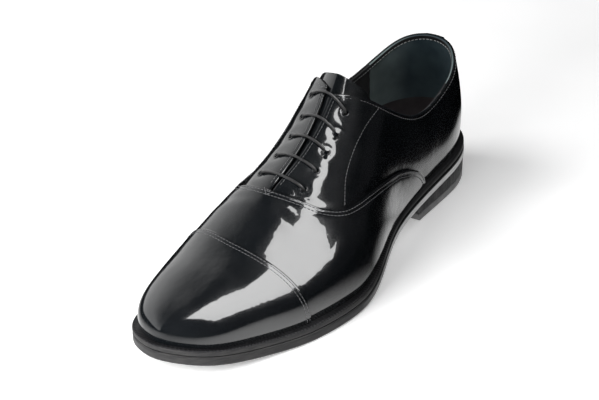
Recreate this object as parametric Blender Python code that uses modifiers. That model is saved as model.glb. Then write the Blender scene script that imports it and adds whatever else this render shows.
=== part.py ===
"""A left dress shoe of black patent leather: closed lacing over a slit throat, plain toe cap, low heel.

Sizes are in millimetres. X runs from heel to toe, Y to the outer (left) side and Z up. The last is worked
out with the back of its feather line at x = 0, and the whole shoe is then moved so that the box around it
stands centred over the origin.
"""
import math
from collections import namedtuple

import bmesh
import bpy
import numpy as np
from mathutils import Matrix, Vector

MM = 0.001
GAP = 0.3                  # between curved pieces that meet
MERGE = 0.002              # grid points closer than this are one point

# Driving sizes of the last
LAST_LENGTH = 293.0        # feather line, back of heel to tip of toe
BALL_WIDTH = 92.0          # feather line across the ball
INSTEP_HEIGHT = 96.5       # ridge above the floor at the instep section
HEEL_RISE = 15.0           # under the sole at the back of the heel
TOE_SPRING = 9.0           # under the sole at the tip of the toe

# The sole stands flat between these two places, in shares of the length
FLAT_REAR = 0.607
FLAT_FRONT = 0.758
ARCH_POWER = 1.25          # how softly the arch leaves the floor
SPRING_POWER = 1.8         # how softly the toe leaves the floor

# Layers under the foot
OUTSOLE = 6.0
WELT = 3.8
FEATHER = OUTSOLE + GAP + WELT + GAP    # the upper's lower edge above the sole's underside
INSOLE_ABOVE_FEATHER = 2.0
INSOLE_INSET = 3.1
WELT_INSET = 2.4

# Leather
WALL = 2.2                 # upper and lining together
OVERLAY_GAP = 0.45
VAMP_LEATHER = 1.0
CAP_LEATHER = 1.7          # cap over the vamp's front edge
TAB_LEATHER = 0.9
OVERLAY_FOOT = 0.9         # overlays stop this far above the feather line
TONGUE_LEATHER = 1.5
TONGUE_CLEARANCE = 0.9
TONGUE_SLANT = 0.028       # its rows run back by this much times the square of the distance across

# Heel
HEEL_BREAST = 0.262        # share of the length, at the floor
BREAST_LEAN = 3.0          # the breast's top stands this far forward
HEEL_LIFT = 5.0
HEEL_INSET_TOP = 0.6
HEEL_INSET_BOTTOM = 1.6

# Back of the heel: it swells back, then leans forward to the collar
HEEL_SWELL = 4.0
HEEL_SWELL_HEIGHT = 24.0
COLLAR_LEAN = 1.5
COLLAR_LEAN_HEIGHT = 62.0
HEEL_CURVE_REACH = 70.0    # the back curve fades out this far forward

# Throat and lace
FACING_TIP = 0.446         # share of the length where the facings end at the collar
THROAT_BASE = 0.633        # share of the length where the slit ends at the vamp
SLIT_HALF_TIP = 2.6
SLIT_HALF_BASE = 0.7
EYELET_RADIUS = 1.5
LACE_RADIUS = 1.2
LACE_SLANT = 1.1           # percent of the length by which the inner holes lie back
LACE_POINTS = 5            # from a hole to the middle of a bar

# Lace holes: station in percent of the length, and distance across from the ridge
Eyelet = namedtuple("Eyelet", "station from_ridge")
EYELETS = (
    Eyelet(44.7, 13.0),
    Eyelet(48.7, 13.0),
    Eyelet(52.7, 13.5),
    Eyelet(57.0, 15.0),
    Eyelet(61.4, 16.5),
)

# Strip over the back seam, from the collar down
TAB_HALF_WIDTH = 7.0
TAB_LENGTH = 26.0
TAB_BELOW_COLLAR = 1.0
TAB_REACH = 5.0            # percent of the length within which the strip lies
TAB_COLUMNS = 3            # on each side
TAB_ROWS = 6

# Sections of the last. Station in percent of the length; lateral, medial and ridge_y in percent of the ball
# width from the axis; ridge_z in percent of the instep height; bulges in millimetres past the feather line;
# shoulder and crown in shares of the half width; low and high in shares of the section's height.
Section = namedtuple("Section", "station lateral medial ridge_y ridge_z bulge_out bulge_in"
                                " shoulder_out shoulder_in crown low high")
SECTIONS = (
    Section(0.00, 0.0, 0.0, 0.0, 166.0, 0.0, 0.0, 0.95, 0.95, 0.70, 0.20, 0.50),
    Section(1.70, 16.8, -16.8, 0.0, 166.0, 2.0, 2.0, 0.95, 0.95, 0.70, 0.20, 0.50),
    Section(7.50, 29.3, -29.3, 0.0, 166.0, 4.0, 4.0, 0.95, 0.95, 0.70, 0.20, 0.50),
    Section(16.4, 33.2, -32.6, 0.5, 164.0, 5.0, 5.0, 0.92, 0.92, 0.66, 0.20, 0.50),
    Section(27.3, 34.8, -29.9, 2.2, 151.0, 6.0, 6.5, 0.90, 0.92, 0.57, 0.22, 0.55),
    Section(36.9, 38.6, -31.0, 4.3, 130.5, 7.0, 11.0, 0.86, 0.99, 0.45, 0.26, 0.62),
    Section(47.8, 48.9, -34.2, 6.8, 100.0, 8.0, 12.5, 0.79, 0.96, 0.37, 0.34, 0.74),
    Section(59.7, 57.9, -39.7, 4.6, 78.0, 8.0, 9.5, 0.76, 0.82, 0.38, 0.42, 0.86),
    Section(69.3, 55.7, -43.7, -0.9, 62.5, 7.0, 7.0, 0.77, 0.78, 0.43, 0.48, 0.94),
    Section(77.8, 48.5, -45.4, -2.2, 49.2, 5.5, 5.5, 0.82, 0.82, 0.47, 0.52, 0.98),
    Section(85.3, 38.4, -42.2, -2.8, 43.5, 4.5, 4.5, 0.86, 0.86, 0.50, 0.54, 1.00),
    Section(92.2, 28.3, -37.0, -3.9, 38.7, 3.5, 3.5, 0.87, 0.87, 0.50, 0.55, 1.00),
    Section(96.9, 17.4, -27.0, -5.2, 34.7, 2.5, 2.5, 0.88, 0.88, 0.50, 0.55, 1.00),
    Section(99.15, 5.2, -16.1, -6.1, 31.1, 1.2, 1.2, 0.88, 0.88, 0.50, 0.55, 1.00),
    Section(100.0, -6.5, -6.5, -6.5, 27.5, 0.0, 0.0, 0.88, 0.88, 0.50, 0.55, 1.00),
)

# Collar line: height above the floor on the outer and inner side, station in percent of the length
Collar = namedtuple("Collar", "station outer inner")
COLLAR = (
    Collar(0.0, 86.0, 86.0),
    Collar(3.4, 83.0, 82.5),
    Collar(7.5, 78.0, 77.0),
    Collar(13.2, 73.0, 72.7),
    Collar(18.9, 69.5, 73.0),
    Collar(23.5, 70.0, 75.2),
    Collar(28.7, 76.3, 80.6),
    Collar(33.1, 85.6, 86.8),
    Collar(36.2, 93.1, 94.6),
    Collar(39.7, 101.2, 106.8),
    Collar(42.0, 104.8, 109.0),
    Collar(44.6, 106.6, 110.0),
)

# Upper edge of the vamp: height above the feather line, from the heel breast to the base of the throat
Seam = namedtuple("Seam", "station height")
VAMP_SEAM = (
    Seam(23.4, 1.5),
    Seam(23.8, 5.4),
    Seam(25.1, 10.6),
    Seam(26.9, 15.8),
    Seam(30.5, 23.2),
    Seam(35.4, 30.2),
    Seam(40.8, 35.7),
    Seam(46.1, 40.6),
    Seam(50.7, 43.6),
    Seam(54.8, 45.4),
    Seam(58.1, 46.8),
    Seam(60.4, 48.8),
    Seam(62.7, 51.7),
    Seam(63.6, 55.3),
    Seam(64.1, 57.3),
    Seam(64.4, 58.3),
)
VAMP_RIDGE = 64.4          # percent of the length where the vamp closes over the ridge

# Seam of the toe cap: station in percent of the length, across from the outer (-1) to the inner side (1)
CapSeam = namedtuple("CapSeam", "across station")
CAP_SEAM = (
    CapSeam(-1.0, 75.2),
    CapSeam(-0.75, 76.4),
    CapSeam(-0.4, 77.3),
    CapSeam(0.0, 76.1),
    CapSeam(0.4, 74.0),
    CapSeam(0.75, 72.2),
    CapSeam(1.0, 71.2),
)

# How far the sole's edge stands out from the feather line on the outer and inner side
Edge = namedtuple("Edge", "station outer inner")
SOLE_EDGE = (
    Edge(0.0, 3.0, 3.0),
    Edge(20.0, 3.0, 2.8),
    Edge(34.0, 2.4, 1.8),
    Edge(50.0, 3.6, 2.4),
    Edge(65.0, 6.0, 4.6),
    Edge(82.0, 6.3, 6.0),
    Edge(100.0, 6.4, 6.4),
)

# Half width of the tongue on each side of the ridge, station in percent of the length
Tongue = namedtuple("Tongue", "station half_width")
TONGUE = (
    Tongue(40.7, 18.0),
    Tongue(41.4, 21.5),
    Tongue(42.5, 23.0),
    Tongue(43.8, 23.0),
    Tongue(52.0, 18.0),
    Tongue(66.5, 14.0),
)

# Columns of the upper's grid: so many steps up to each station, in percent of the length
Steps = namedtuple("Steps", "station count")
UPPER_STEPS = (Steps(3.0, 3), Steps(8.0, 3), Steps(32.0, 7), Steps(46.0, 12), Steps(61.5, 6),
               Steps(65.0, 4), Steps(92.0, 11), Steps(97.5, 4), Steps(100.0, 4))
UPPER_ROWS = 10
VAMP_STEPS = (Steps(24.4, 2), Steps(29.0, 3), Steps(58.0, 8), Steps(62.6, 4), Steps(63.9, 4), Steps(64.4, 6),
              Steps(73.9, 5))
VAMP_ROWS = 12
ROW_SNAP = 0.35            # a row this near the vamp's edge, in rows, lies on the edge
CAP_COLUMNS = 12
CAP_ROWS = 11
SOLE_COLUMNS = 46
HEEL_COLUMNS = 14
PLAN_POINTS = 1500         # points along a plan's outline before it is cut into rungs
SHARP_ANGLE = math.radians(40)

# Colours (linear RGB), roughness
PATENT_BLACK = ((0.004, 0.005, 0.006), 0.08)
LINING_GREY = ((0.028, 0.036, 0.034), 0.75)
SOLE_BLACK = ((0.010, 0.010, 0.011), 0.45)
SOLE_GREY = ((0.045, 0.046, 0.048), 0.55)
HEEL_GREY = ((0.030, 0.031, 0.033), 0.60)
LACE_BLACK = ((0.006, 0.006, 0.007), 0.50)


def clear_scene():
    for old in list(bpy.data.objects):
        bpy.data.objects.remove(old, do_unlink=True)


def columns(rows):
    """The table's columns by name."""
    return {name: np.array([getattr(row, name) for row in rows], float) for name in rows[0]._fields}


def smooth_curve(places, values, flat_ends=False):
    """A curve of even curvature through the values, level at its ends where asked."""
    count = len(places)
    step = np.diff(places)
    slope = np.diff(values) / step
    matrix = np.zeros((count, count))
    right = np.zeros(count)
    for i in range(1, count - 1):
        matrix[i, i - 1:i + 2] = step[i - 1], 2 * (step[i - 1] + step[i]), step[i]
        right[i] = 6 * (slope[i] - slope[i - 1])
    matrix[0, 0] = matrix[-1, -1] = 1.0
    if flat_ends:
        matrix[0, :2] = 2 * step[0], step[0]
        matrix[-1, -2:] = step[-1], 2 * step[-1]
        right[0] = 6 * slope[0]
        right[-1] = -6 * slope[-1]
    bend = np.linalg.solve(matrix, right)

    def curve(place):
        place = np.asarray(place, float)
        i = np.clip(np.searchsorted(places, place) - 1, 0, count - 2)
        after = place - places[i]
        before = step[i] - after
        cubic = (bend[i] * before ** 3 + bend[i + 1] * after ** 3) / (6 * step[i])
        line = (values[i] / step[i] - bend[i] * step[i] / 6) * before
        return cubic + line + (values[i + 1] / step[i] - bend[i + 1] * step[i] / 6) * after

    return curve


def sole_underside(x):
    """Height of the sole's underside: heel and arch behind the flat tread, toe spring in front."""
    share = np.asarray(x, float) / LAST_LENGTH
    behind = np.clip((FLAT_REAR - share) / FLAT_REAR, 0, 1)
    ahead = np.clip((share - FLAT_FRONT) / (1 - FLAT_FRONT), 0, None)
    return HEEL_RISE * np.sin(math.pi / 2 * behind ** ARCH_POWER) + TOE_SPRING * ahead ** SPRING_POWER


class Last:
    """The last as a surface: a place along the feather line, a side, and a rise from feather to ridge."""

    def __init__(self):
        table = columns(SECTIONS)
        table["station"] *= LAST_LENGTH / 100
        for name in ("lateral", "medial", "ridge_y"):
            table[name] *= BALL_WIDTH / 100
        table["ridge_z"] *= INSTEP_HEIGHT / 100
        half_width = (table["lateral"] - table["medial"]) / 2
        self.places = np.r_[0, np.cumsum(np.hypot(np.diff(table["station"]), np.diff(half_width)))]
        self.end = self.places[-1]
        self.curves = {name: smooth_curve(self.places, values, flat_ends=name == "station")
                       for name, values in table.items()}
        self.back_curve = self.solve_back_curve()
        self.fine = np.linspace(0, self.end, 4000)
        self.fine_x = self.curves["station"](self.fine)

    @staticmethod
    def solve_back_curve():
        """Cubic in the height above the feather: level at the swell, then through the collar's lean."""
        low = HEEL_SWELL_HEIGHT
        top = COLLAR_LEAN_HEIGHT
        matrix = [[low, low ** 2, low ** 3], [1, 2 * low, 3 * low ** 2], [top, top ** 2, top ** 3]]
        return np.linalg.solve(np.array(matrix), np.array([-HEEL_SWELL, 0.0, COLLAR_LEAN]))

    def place(self, percent):
        """Place along the feather line of a station in percent of the length."""
        return np.interp(np.asarray(percent, float) * LAST_LENGTH / 100, self.fine_x, self.fine)

    def at(self, name, place):
        return self.curves[name](place)

    def station(self, place):
        return np.clip(self.at("station", place), 0, LAST_LENGTH)

    def feather_z(self, place):
        return sole_underside(self.station(place)) + FEATHER

    def skin(self, place, side, rise):
        """Points on the upper's outer face; side is 1 outside and -1 inside, rise goes from 0 to 1."""
        place, rise = np.broadcast_arrays(np.asarray(place, float), np.asarray(rise, float))
        outer = side > 0
        feather = self.at("lateral" if outer else "medial", place)
        bulge = self.at("bulge_out" if outer else "bulge_in", place)
        shoulder = self.at("shoulder_out" if outer else "shoulder_in", place)
        ridge_y = self.at("ridge_y", place)
        half = feather - ridge_y
        base = self.feather_z(place)
        height = self.at("ridge_z", place) - base
        across = (feather, feather + side * bulge, ridge_y + shoulder * half,
                  ridge_y + self.at("crown", place) * half, ridge_y)
        up = (0 * height, self.at("low", place) * height, self.at("high", place) * height, height, height)
        weight = [math.comb(4, k) * rise ** k * (1 - rise) ** (4 - k) for k in range(5)]
        y = sum(w * v for w, v in zip(weight, across))
        z = sum(w * v for w, v in zip(weight, up))
        x = self.station(place)
        reach = np.clip(1 - x / HEEL_CURVE_REACH, 0, 1) ** 2
        lift = np.clip(z, 0, 1.4 * COLLAR_LEAN_HEIGHT)
        lean = sum(c * lift ** (k + 1) for k, c in enumerate(self.back_curve))
        return np.stack([x + reach * lean, y, base + z], axis=-1)

    def normal(self, place, side, rise):
        """Outward direction of the skin, level across at the ridge and at both ends."""
        place, rise = np.broadcast_arrays(np.asarray(place, float), np.asarray(rise, float))
        step_p = 0.2
        step_r = 0.004
        before = np.clip(place - step_p, 0, self.end - 2 * step_p)
        after = np.clip(place + step_p, 2 * step_p, self.end)
        below = np.clip(rise - step_r, 0, 1 - 2 * step_r)
        above = np.clip(rise + step_r, 2 * step_r, 1)
        middle = (before + after) / 2
        along = self.skin(after, side, rise) - self.skin(before, side, rise)
        upward = self.skin(middle, side, above) - self.skin(middle, side, below)
        out = side * np.cross(upward, along)
        level = (rise >= 1) | (place <= 0) | (place >= self.end)
        out[..., 1] = np.where(level, 0, out[..., 1])
        return out / np.linalg.norm(out, axis=-1, keepdims=True)

    def offset(self, place, side, rise, distance):
        return self.skin(place, side, rise) + distance * self.normal(place, side, rise)

    def solve_rise(self, place, side, measure, target, low):
        """Rise where a measure of the section that grows with the rise reaches its target."""
        place = np.asarray(place, float)
        lower = np.full(place.shape, float(low))
        upper = np.ones(place.shape)
        for _ in range(40):
            middle = (lower + upper) / 2
            under = measure(self.skin(place, side, middle), place) < target
            lower = np.where(under, middle, lower)
            upper = np.where(under, upper, middle)
        return (lower + upper) / 2

    def rise_at_height(self, place, side, z):
        return self.solve_rise(place, side, lambda point, _: point[..., 2], z, 0)

    def rise_at_distance(self, place, side, distance):
        """Rise where the skin is so far across from the ridge, above its shoulder."""
        def nearness(point, at_place):
            return -side * (point[..., 1] - self.at("ridge_y", at_place))
        return self.solve_rise(place, side, nearness, -np.asarray(distance, float), 0.45)


LAST = Last()


def grid_places(steps, start=0.0):
    """Places of a grid's columns from a table of steps, each stretch evenly divided."""
    places = [LAST.place(start)]
    for row in steps:
        stretch = np.linspace(places[-1], LAST.place(row.station), row.count + 1)
        places.extend(stretch[1:])
    return np.array(places, float)


def collar_rise(place, side):
    """The upper's upper edge: collar line at the back, slit along the lacing, closed ridge in front."""
    share = LAST.station(place) / LAST_LENGTH
    table = columns(COLLAR)
    height = smooth_curve(table["station"], table["outer" if side > 0 else "inner"])
    along_slit = np.clip((share - FACING_TIP) / (THROAT_BASE - FACING_TIP), 0, 1)
    half_gap = SLIT_HALF_TIP + (SLIT_HALF_BASE - SLIT_HALF_TIP) * along_slit
    at_slit = LAST.rise_at_distance(place, side, half_gap)
    at_collar = LAST.rise_at_height(place, side, height(np.minimum(share, FACING_TIP) * 100))
    behind_tip = np.minimum(at_slit, at_collar)
    edge = np.where(share < FACING_TIP, behind_tip, at_slit)
    return np.where(share >= THROAT_BASE, 1.0, edge)


def vamp_rise(place, side):
    """The vamp's upper edge: the seam along the side, closed over the ridge in front."""
    percent = LAST.station(place) / LAST_LENGTH * 100
    table = columns(VAMP_SEAM)
    height = np.interp(percent, table["station"], table["height"])
    at_seam = LAST.rise_at_height(place, side, LAST.feather_z(place) + height)
    return np.where(percent >= VAMP_RIDGE, 1.0, at_seam)


def cap_place(side, rise):
    """Place of the toe cap's seam along the feather line, at a rise on one side."""
    table = columns(CAP_SEAM)
    return LAST.place(smooth_curve(table["across"], table["station"])(-side * (1 - rise)))


def foot_rise(place, side):
    """Where an overlay starts, a little above the feather line."""
    return LAST.rise_at_height(place, side, LAST.feather_z(place) + OVERLAY_FOOT)


def material(name, finish):
    colour, roughness = finish
    made = bpy.data.materials.new(name)
    made.use_nodes = True
    shader = made.node_tree.nodes["Principled BSDF"]
    shader.inputs["Base Color"].default_value = (*colour, 1.0)
    shader.inputs["Roughness"].default_value = roughness
    return made


def new_collection(name):
    made = bpy.data.collections.new(name)
    bpy.context.scene.collection.children.link(made)
    return made


def add_object(name, mesh, collection, parent, finish):
    made = bpy.data.objects.new(name, mesh)
    collection.objects.link(made)
    made.parent = parent
    made.data.materials.append(material(name, finish))
    return made


def mesh_from_grids(name, grids, closed=False, triangles=False):
    """One mesh from grids of points, joined where their borders meet; each grid says if it is turned."""
    work = bmesh.new()
    for points, turned in grids:
        rows, cols = points.shape[:2]
        verts = [[work.verts.new(points[i, j] * MM) for j in range(cols)] for i in range(rows)]
        for i in range(rows - 1):
            for j in range(cols - 1):
                corners = [verts[i][j], verts[i + 1][j], verts[i + 1][j + 1], verts[i][j + 1]]
                work.faces.new(corners[::-1] if turned else corners)
    bmesh.ops.remove_doubles(work, verts=work.verts, dist=MERGE * MM)
    if closed:
        bmesh.ops.recalc_face_normals(work, faces=work.faces)
    if triangles:
        bmesh.ops.triangulate(work, faces=work.faces)
    mesh = bpy.data.meshes.new(name)
    work.to_mesh(mesh)
    work.free()
    mesh.shade_smooth()
    mesh.set_sharp_from_angle(angle=SHARP_ANGLE)
    return mesh


def add_shell(shoe_object, thickness, outward):
    """Give an open sheet its thickness, to the outside or to the inside."""
    shell = shoe_object.modifiers.new("thickness", "SOLIDIFY")
    shell.thickness = thickness * MM
    shell.offset = 1.0 if outward else -1.0
    shell.use_even_offset = True
    shell.use_rim = True


def both_sides(make_points):
    """The grids of the outer and inner half of a panel."""
    return [(make_points(1), True), (make_points(-1), False)]


def make_upper(collection, parent, cutters):
    places = grid_places(UPPER_STEPS)
    share = np.linspace(0, 1, UPPER_ROWS + 1)

    def half(side):
        rise = collar_rise(places, side)[:, None] * share
        return LAST.skin(places[:, None], side, rise)

    upper = add_object("upper", mesh_from_grids("upper", both_sides(half)), collection, parent, PATENT_BLACK)
    add_shell(upper, WALL, outward=False)
    punch = upper.modifiers.new("lace holes", "BOOLEAN")
    punch.operation = "DIFFERENCE"
    punch.solver = "EXACT"
    punch.object = eyelet_cutter(cutters, parent)


def lace_place(eyelet, side, across):
    """Place along the feather line of a lace bar, at a distance across from the ridge."""
    return LAST.place(eyelet.station - LACE_SLANT * (1 - side * across / eyelet.from_ridge) / 2)


def eyelet_point(eyelet, side):
    """Middle of a lace hole on the skin, with the skin's direction there."""
    place = lace_place(eyelet, side, eyelet.from_ridge)
    rise = LAST.rise_at_distance(place, side, eyelet.from_ridge)
    return LAST.skin(place, side, rise), LAST.normal(place, side, rise)


def eyelet_cutter(collection, parent):
    """Ten short drills, square to the leather."""
    work = bmesh.new()
    for eyelet in EYELETS:
        for side in (1, -1):
            point, out = eyelet_point(eyelet, side)
            turn = Vector(out).to_track_quat("Z", "Y").to_matrix().to_4x4()
            bmesh.ops.create_cone(work, cap_ends=True, segments=12, radius1=EYELET_RADIUS * MM,
                                  radius2=EYELET_RADIUS * MM, depth=4 * WALL * MM,
                                  matrix=Matrix.Translation(Vector(point) * MM) @ turn)
    mesh = bpy.data.meshes.new("lace_hole_cutter")
    work.to_mesh(mesh)
    work.free()
    cutter = bpy.data.objects.new("lace_hole_cutter", mesh)
    collection.objects.link(cutter)
    cutter.parent = parent
    cutter.hide_render = True
    cutter.display_type = "WIRE"
    return cutter


def make_vamp(collection, parent):
    places = grid_places(VAMP_STEPS, VAMP_SEAM[0].station)
    share = np.linspace(0, 1, VAMP_ROWS + 1)
    last = places[-1]
    slant_start = LAST.place(VAMP_RIDGE + 1.5)
    slant = np.clip((places - slant_start) / (last - slant_start), 0, 1)

    def half(side):
        low = foot_rise(places, side)[:, None]
        rise = low + (1 - low) * share
        edge = np.broadcast_to(vamp_rise(places, side)[:, None], rise.shape)
        rise = np.where(rise > edge - ROW_SNAP / VAMP_ROWS, edge, rise)
        seam = cap_place(side, rise) - GAP / 2
        moved = places[:, None] + slant[:, None] * (seam - last)
        return LAST.offset(moved, side, rise, OVERLAY_GAP)

    vamp = add_object("vamp", mesh_from_grids("vamp", both_sides(half)), collection, parent, PATENT_BLACK)
    add_shell(vamp, VAMP_LEATHER, outward=True)


def make_toe_cap(collection, parent):
    share = np.linspace(0, 1, CAP_ROWS + 1)
    along = np.sin(np.linspace(0, math.pi / 2, CAP_COLUMNS + 1))

    def half(side):
        low = foot_rise(LAST.place(90.0), side)
        rise = low + (1 - low) * share
        seam = cap_place(side, rise) + GAP / 2
        places = seam[None, :] + along[:, None] * (LAST.end - seam)[None, :]
        return LAST.offset(places, side, np.broadcast_to(rise, places.shape), OVERLAY_GAP)

    cap = add_object("toe_cap", mesh_from_grids("toe_cap", both_sides(half)), collection, parent, PATENT_BLACK)
    add_shell(cap, CAP_LEATHER, outward=True)


def make_back_tab(collection, parent):
    """A strip over the back seam, from the collar down, narrowing to a round end."""
    down = np.linspace(0, 1, TAB_ROWS + 1)
    heights = COLLAR[0].outer - TAB_BELOW_COLLAR - TAB_LENGTH * down
    widths = TAB_HALF_WIDTH * np.sqrt(np.clip(1 - down ** 4, 0.02, 1))
    near_places = np.linspace(0, LAST.place(TAB_REACH), 60)
    near_widths = LAST.at("lateral", near_places)

    def half(side):
        across = np.linspace(0, 1, TAB_COLUMNS + 1)[:, None] * widths[None, :]
        places = np.interp(across, near_widths, near_places)
        rise = LAST.rise_at_height(places, side, np.broadcast_to(heights, places.shape))
        return LAST.offset(places, side, rise, OVERLAY_GAP)

    grids = [(half(1), False), (half(-1), True)]
    tab = add_object("back_tab", mesh_from_grids("back_tab", grids), collection, parent, PATENT_BLACK)
    add_shell(tab, TAB_LEATHER, outward=True)


def make_tongue(collection, parent):
    table = columns(TONGUE)
    stations = np.r_[table["station"][:3], np.linspace(table["station"][3], table["station"][-1], 13)]
    widths = np.interp(stations, table["station"], table["half_width"])
    share = np.linspace(1, 0, 8)

    def half(side):
        across = widths[:, None] * share
        spread = LAST.place(stations[:, None] - TONGUE_SLANT * across ** 2 / LAST_LENGTH * 100)
        rise = LAST.rise_at_distance(spread, side, across)
        rise = np.where(across == 0, 1.0, rise)
        return LAST.offset(spread, side, rise, -WALL - TONGUE_CLEARANCE)

    grids = both_sides(half)
    ridge = np.mean([points[:, -1] for points, turned in grids], axis=0)
    for points, turned in grids:
        points[:, -1] = ridge
    mesh = mesh_from_grids("tongue", grids, triangles=True)
    tongue = add_object("tongue", mesh, collection, parent, PATENT_BLACK)
    add_shell(tongue, TONGUE_LEATHER, outward=False)


def outline(side, distance):
    """Plan of the feather line on one side, moved outward by a distance along it, from heel to toe."""
    step = 0.05
    name = "lateral" if side > 0 else "medial"
    places = np.linspace(0, LAST.end, PLAN_POINTS)
    before = np.clip(places - step, 0, LAST.end)
    after = np.clip(places + step, 0, LAST.end)
    dx = LAST.station(after) - LAST.station(before)
    dx[[0, -1]] = 0
    dy = LAST.at(name, after) - LAST.at(name, before)
    size = np.hypot(dx, dy)
    x = LAST.station(places) - side * distance(places, side) * dy / size
    y = LAST.at(name, places) + side * distance(places, side) * dx / size
    return x, y


def sole_edge(inset=0.0):
    """Distance of the sole's edge from the feather line, along it."""
    table = columns(SOLE_EDGE)

    def distance(places, side):
        width = smooth_curve(table["station"], table["outer" if side > 0 else "inner"])
        return width(LAST.station(places) / LAST_LENGTH * 100) - inset

    return distance


def inside_feather(inset):
    return lambda places, side: np.full(places.shape, -inset)


def plan(distance, front=None):
    """Rungs across a plan: x, outer y and inner y of each, closer together at the round ends."""
    outer_x, outer_y = outline(1, distance)
    inner_x, inner_y = outline(-1, distance)
    rear = outer_x[0]
    if front is None:
        turn = np.linspace(0, math.pi, SOLE_COLUMNS + 1)
        x = rear + (outer_x[-1] - rear) * (1 - np.cos(turn)) / 2
    else:
        turn = np.linspace(0, math.pi / 2, HEEL_COLUMNS + 1)
        x = rear + (front - rear) * (1 - np.cos(turn))
    return x, np.interp(x, outer_x, outer_y), np.interp(x, inner_x, inner_y)


def at_height(rungs, height):
    """Outer and inner line of points over the rungs of a plan."""
    x, outer, inner = rungs
    return np.column_stack([x, outer, height(x)]), np.column_stack([x, inner, height(x)])


def under_plus(distance):
    """Height a fixed distance above the sole's underside."""
    return lambda x: sole_underside(x) + distance


def level(height):
    return lambda x: np.full(x.shape, float(height))


def slab_mesh(name, top, bottom):
    """A closed slab between the outer and inner lines of its top and of its bottom."""
    around = np.stack([top[0], top[1], bottom[1], bottom[0], top[0]], axis=1)
    ends = [around[k, [[0, 1], [3, 2]]] for k in (0, -1)]
    return mesh_from_grids(name, [(grid, False) for grid in (around, *ends)], closed=True)


def ring_mesh(name, edge_top, edge_low, inside_low, inside_top):
    """A closed strip round the shoe; each line comes for the outer and the inner side."""
    lines = (edge_top, edge_low, inside_low, inside_top, edge_top)
    sides = [np.stack([line[k] for line in lines], axis=1) for k in (0, 1)]
    return mesh_from_grids(name, [(grid, False) for grid in sides], closed=True)


def make_sole(collection, parent):
    edge = plan(sole_edge())
    seat = plan(inside_feather(WELT_INSET))
    board = plan(inside_feather(INSOLE_INSET))
    welt_low = under_plus(OUTSOLE + GAP)
    welt_high = under_plus(OUTSOLE + GAP + WELT)
    board_high = under_plus(FEATHER + INSOLE_ABOVE_FEATHER)
    outsole = slab_mesh("outsole", at_height(edge, under_plus(OUTSOLE)), at_height(edge, under_plus(0)))
    add_object("outsole", outsole, collection, parent, SOLE_BLACK)
    welt = ring_mesh("welt", at_height(edge, welt_high), at_height(edge, welt_low),
                     at_height(seat, welt_low), at_height(seat, welt_high))
    add_object("welt", welt, collection, parent, SOLE_BLACK)
    insole = slab_mesh("insole", at_height(board, board_high), at_height(board, welt_low))
    add_object("insole", insole, collection, parent, LINING_GREY)


def make_heel(collection, parent):
    breast = HEEL_BREAST * LAST_LENGTH
    lift_share = HEEL_LIFT / HEEL_RISE
    lift_inset = HEEL_INSET_BOTTOM + (HEEL_INSET_TOP - HEEL_INSET_BOTTOM) * lift_share
    seat_plan = plan(sole_edge(HEEL_INSET_TOP), breast + BREAST_LEAN)
    lift_plan = plan(sole_edge(lift_inset), breast + BREAST_LEAN * lift_share)
    floor_plan = plan(sole_edge(HEEL_INSET_BOTTOM), breast)
    block = slab_mesh("heel_block", at_height(seat_plan, under_plus(-GAP)),
                      at_height(lift_plan, level(HEEL_LIFT + GAP)))
    add_object("heel_block", block, collection, parent, HEEL_GREY)
    lift = slab_mesh("heel_lift", at_height(lift_plan, level(HEEL_LIFT)), at_height(floor_plan, level(0)))
    add_object("heel_lift", lift, collection, parent, SOLE_GREY)


def lace_path(eyelet):
    """One bar of the lace, over the leather from an outer hole to the inner one."""
    across = np.linspace(eyelet.from_ridge, 0, LACE_POINTS)
    path = []
    for side in (1, -1):
        places = lace_place(eyelet, side, across)
        rise = np.where(across == 0, 1.0, LAST.rise_at_distance(places, side, across))
        points = LAST.offset(places, side, rise, LACE_RADIUS + GAP)
        path.append(points if side > 0 else points[-2::-1])
    return np.concatenate(path)


def make_laces(collection, parent):
    for number, eyelet in enumerate(EYELETS, start=1):
        name = f"lace_bar_{number}"
        points = lace_path(eyelet) * MM
        curve = bpy.data.curves.new(name, "CURVE")
        curve.dimensions = "3D"
        curve.bevel_depth = LACE_RADIUS * MM
        curve.bevel_resolution = 2
        curve.use_fill_caps = True
        spline = curve.splines.new("POLY")
        spline.points.add(len(points) - 1)
        for spot, point in zip(spline.points, points):
            spot.co = (*point, 1.0)
        add_object(name, curve, collection, parent, LACE_BLACK)


def main():
    clear_scene()
    parts = new_collection("dress_shoe")
    cutters = new_collection("cutters")
    x, outer, inner = plan(sole_edge())
    rear = min(x[0], -HEEL_SWELL)
    frame = bpy.data.objects.new("shoe_frame", None)
    parts.objects.link(frame)
    frame.location = (-(rear + x[-1]) / 2 * MM, -(outer.max() + inner.min()) / 2 * MM, 0.0)
    make_upper(parts, frame, cutters)
    make_vamp(parts, frame)
    make_toe_cap(parts, frame)
    make_back_tab(parts, frame)
    make_tongue(parts, frame)
    make_sole(parts, frame)
    make_heel(parts, frame)
    make_laces(parts, frame)


main()
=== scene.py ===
"""Looks of a left dress shoe in black patent leather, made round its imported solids.

Sizes are in millimetres in the last's own frame, as in the part's source: X runs from heel to toe with the
back of the feather line at 0, Y to the outer side and Z up. to_row() moves points to the row frame.
"""
import math
from collections import namedtuple

import bmesh
import bpy
import numpy as np
from mathutils import Matrix, Vector


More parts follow.
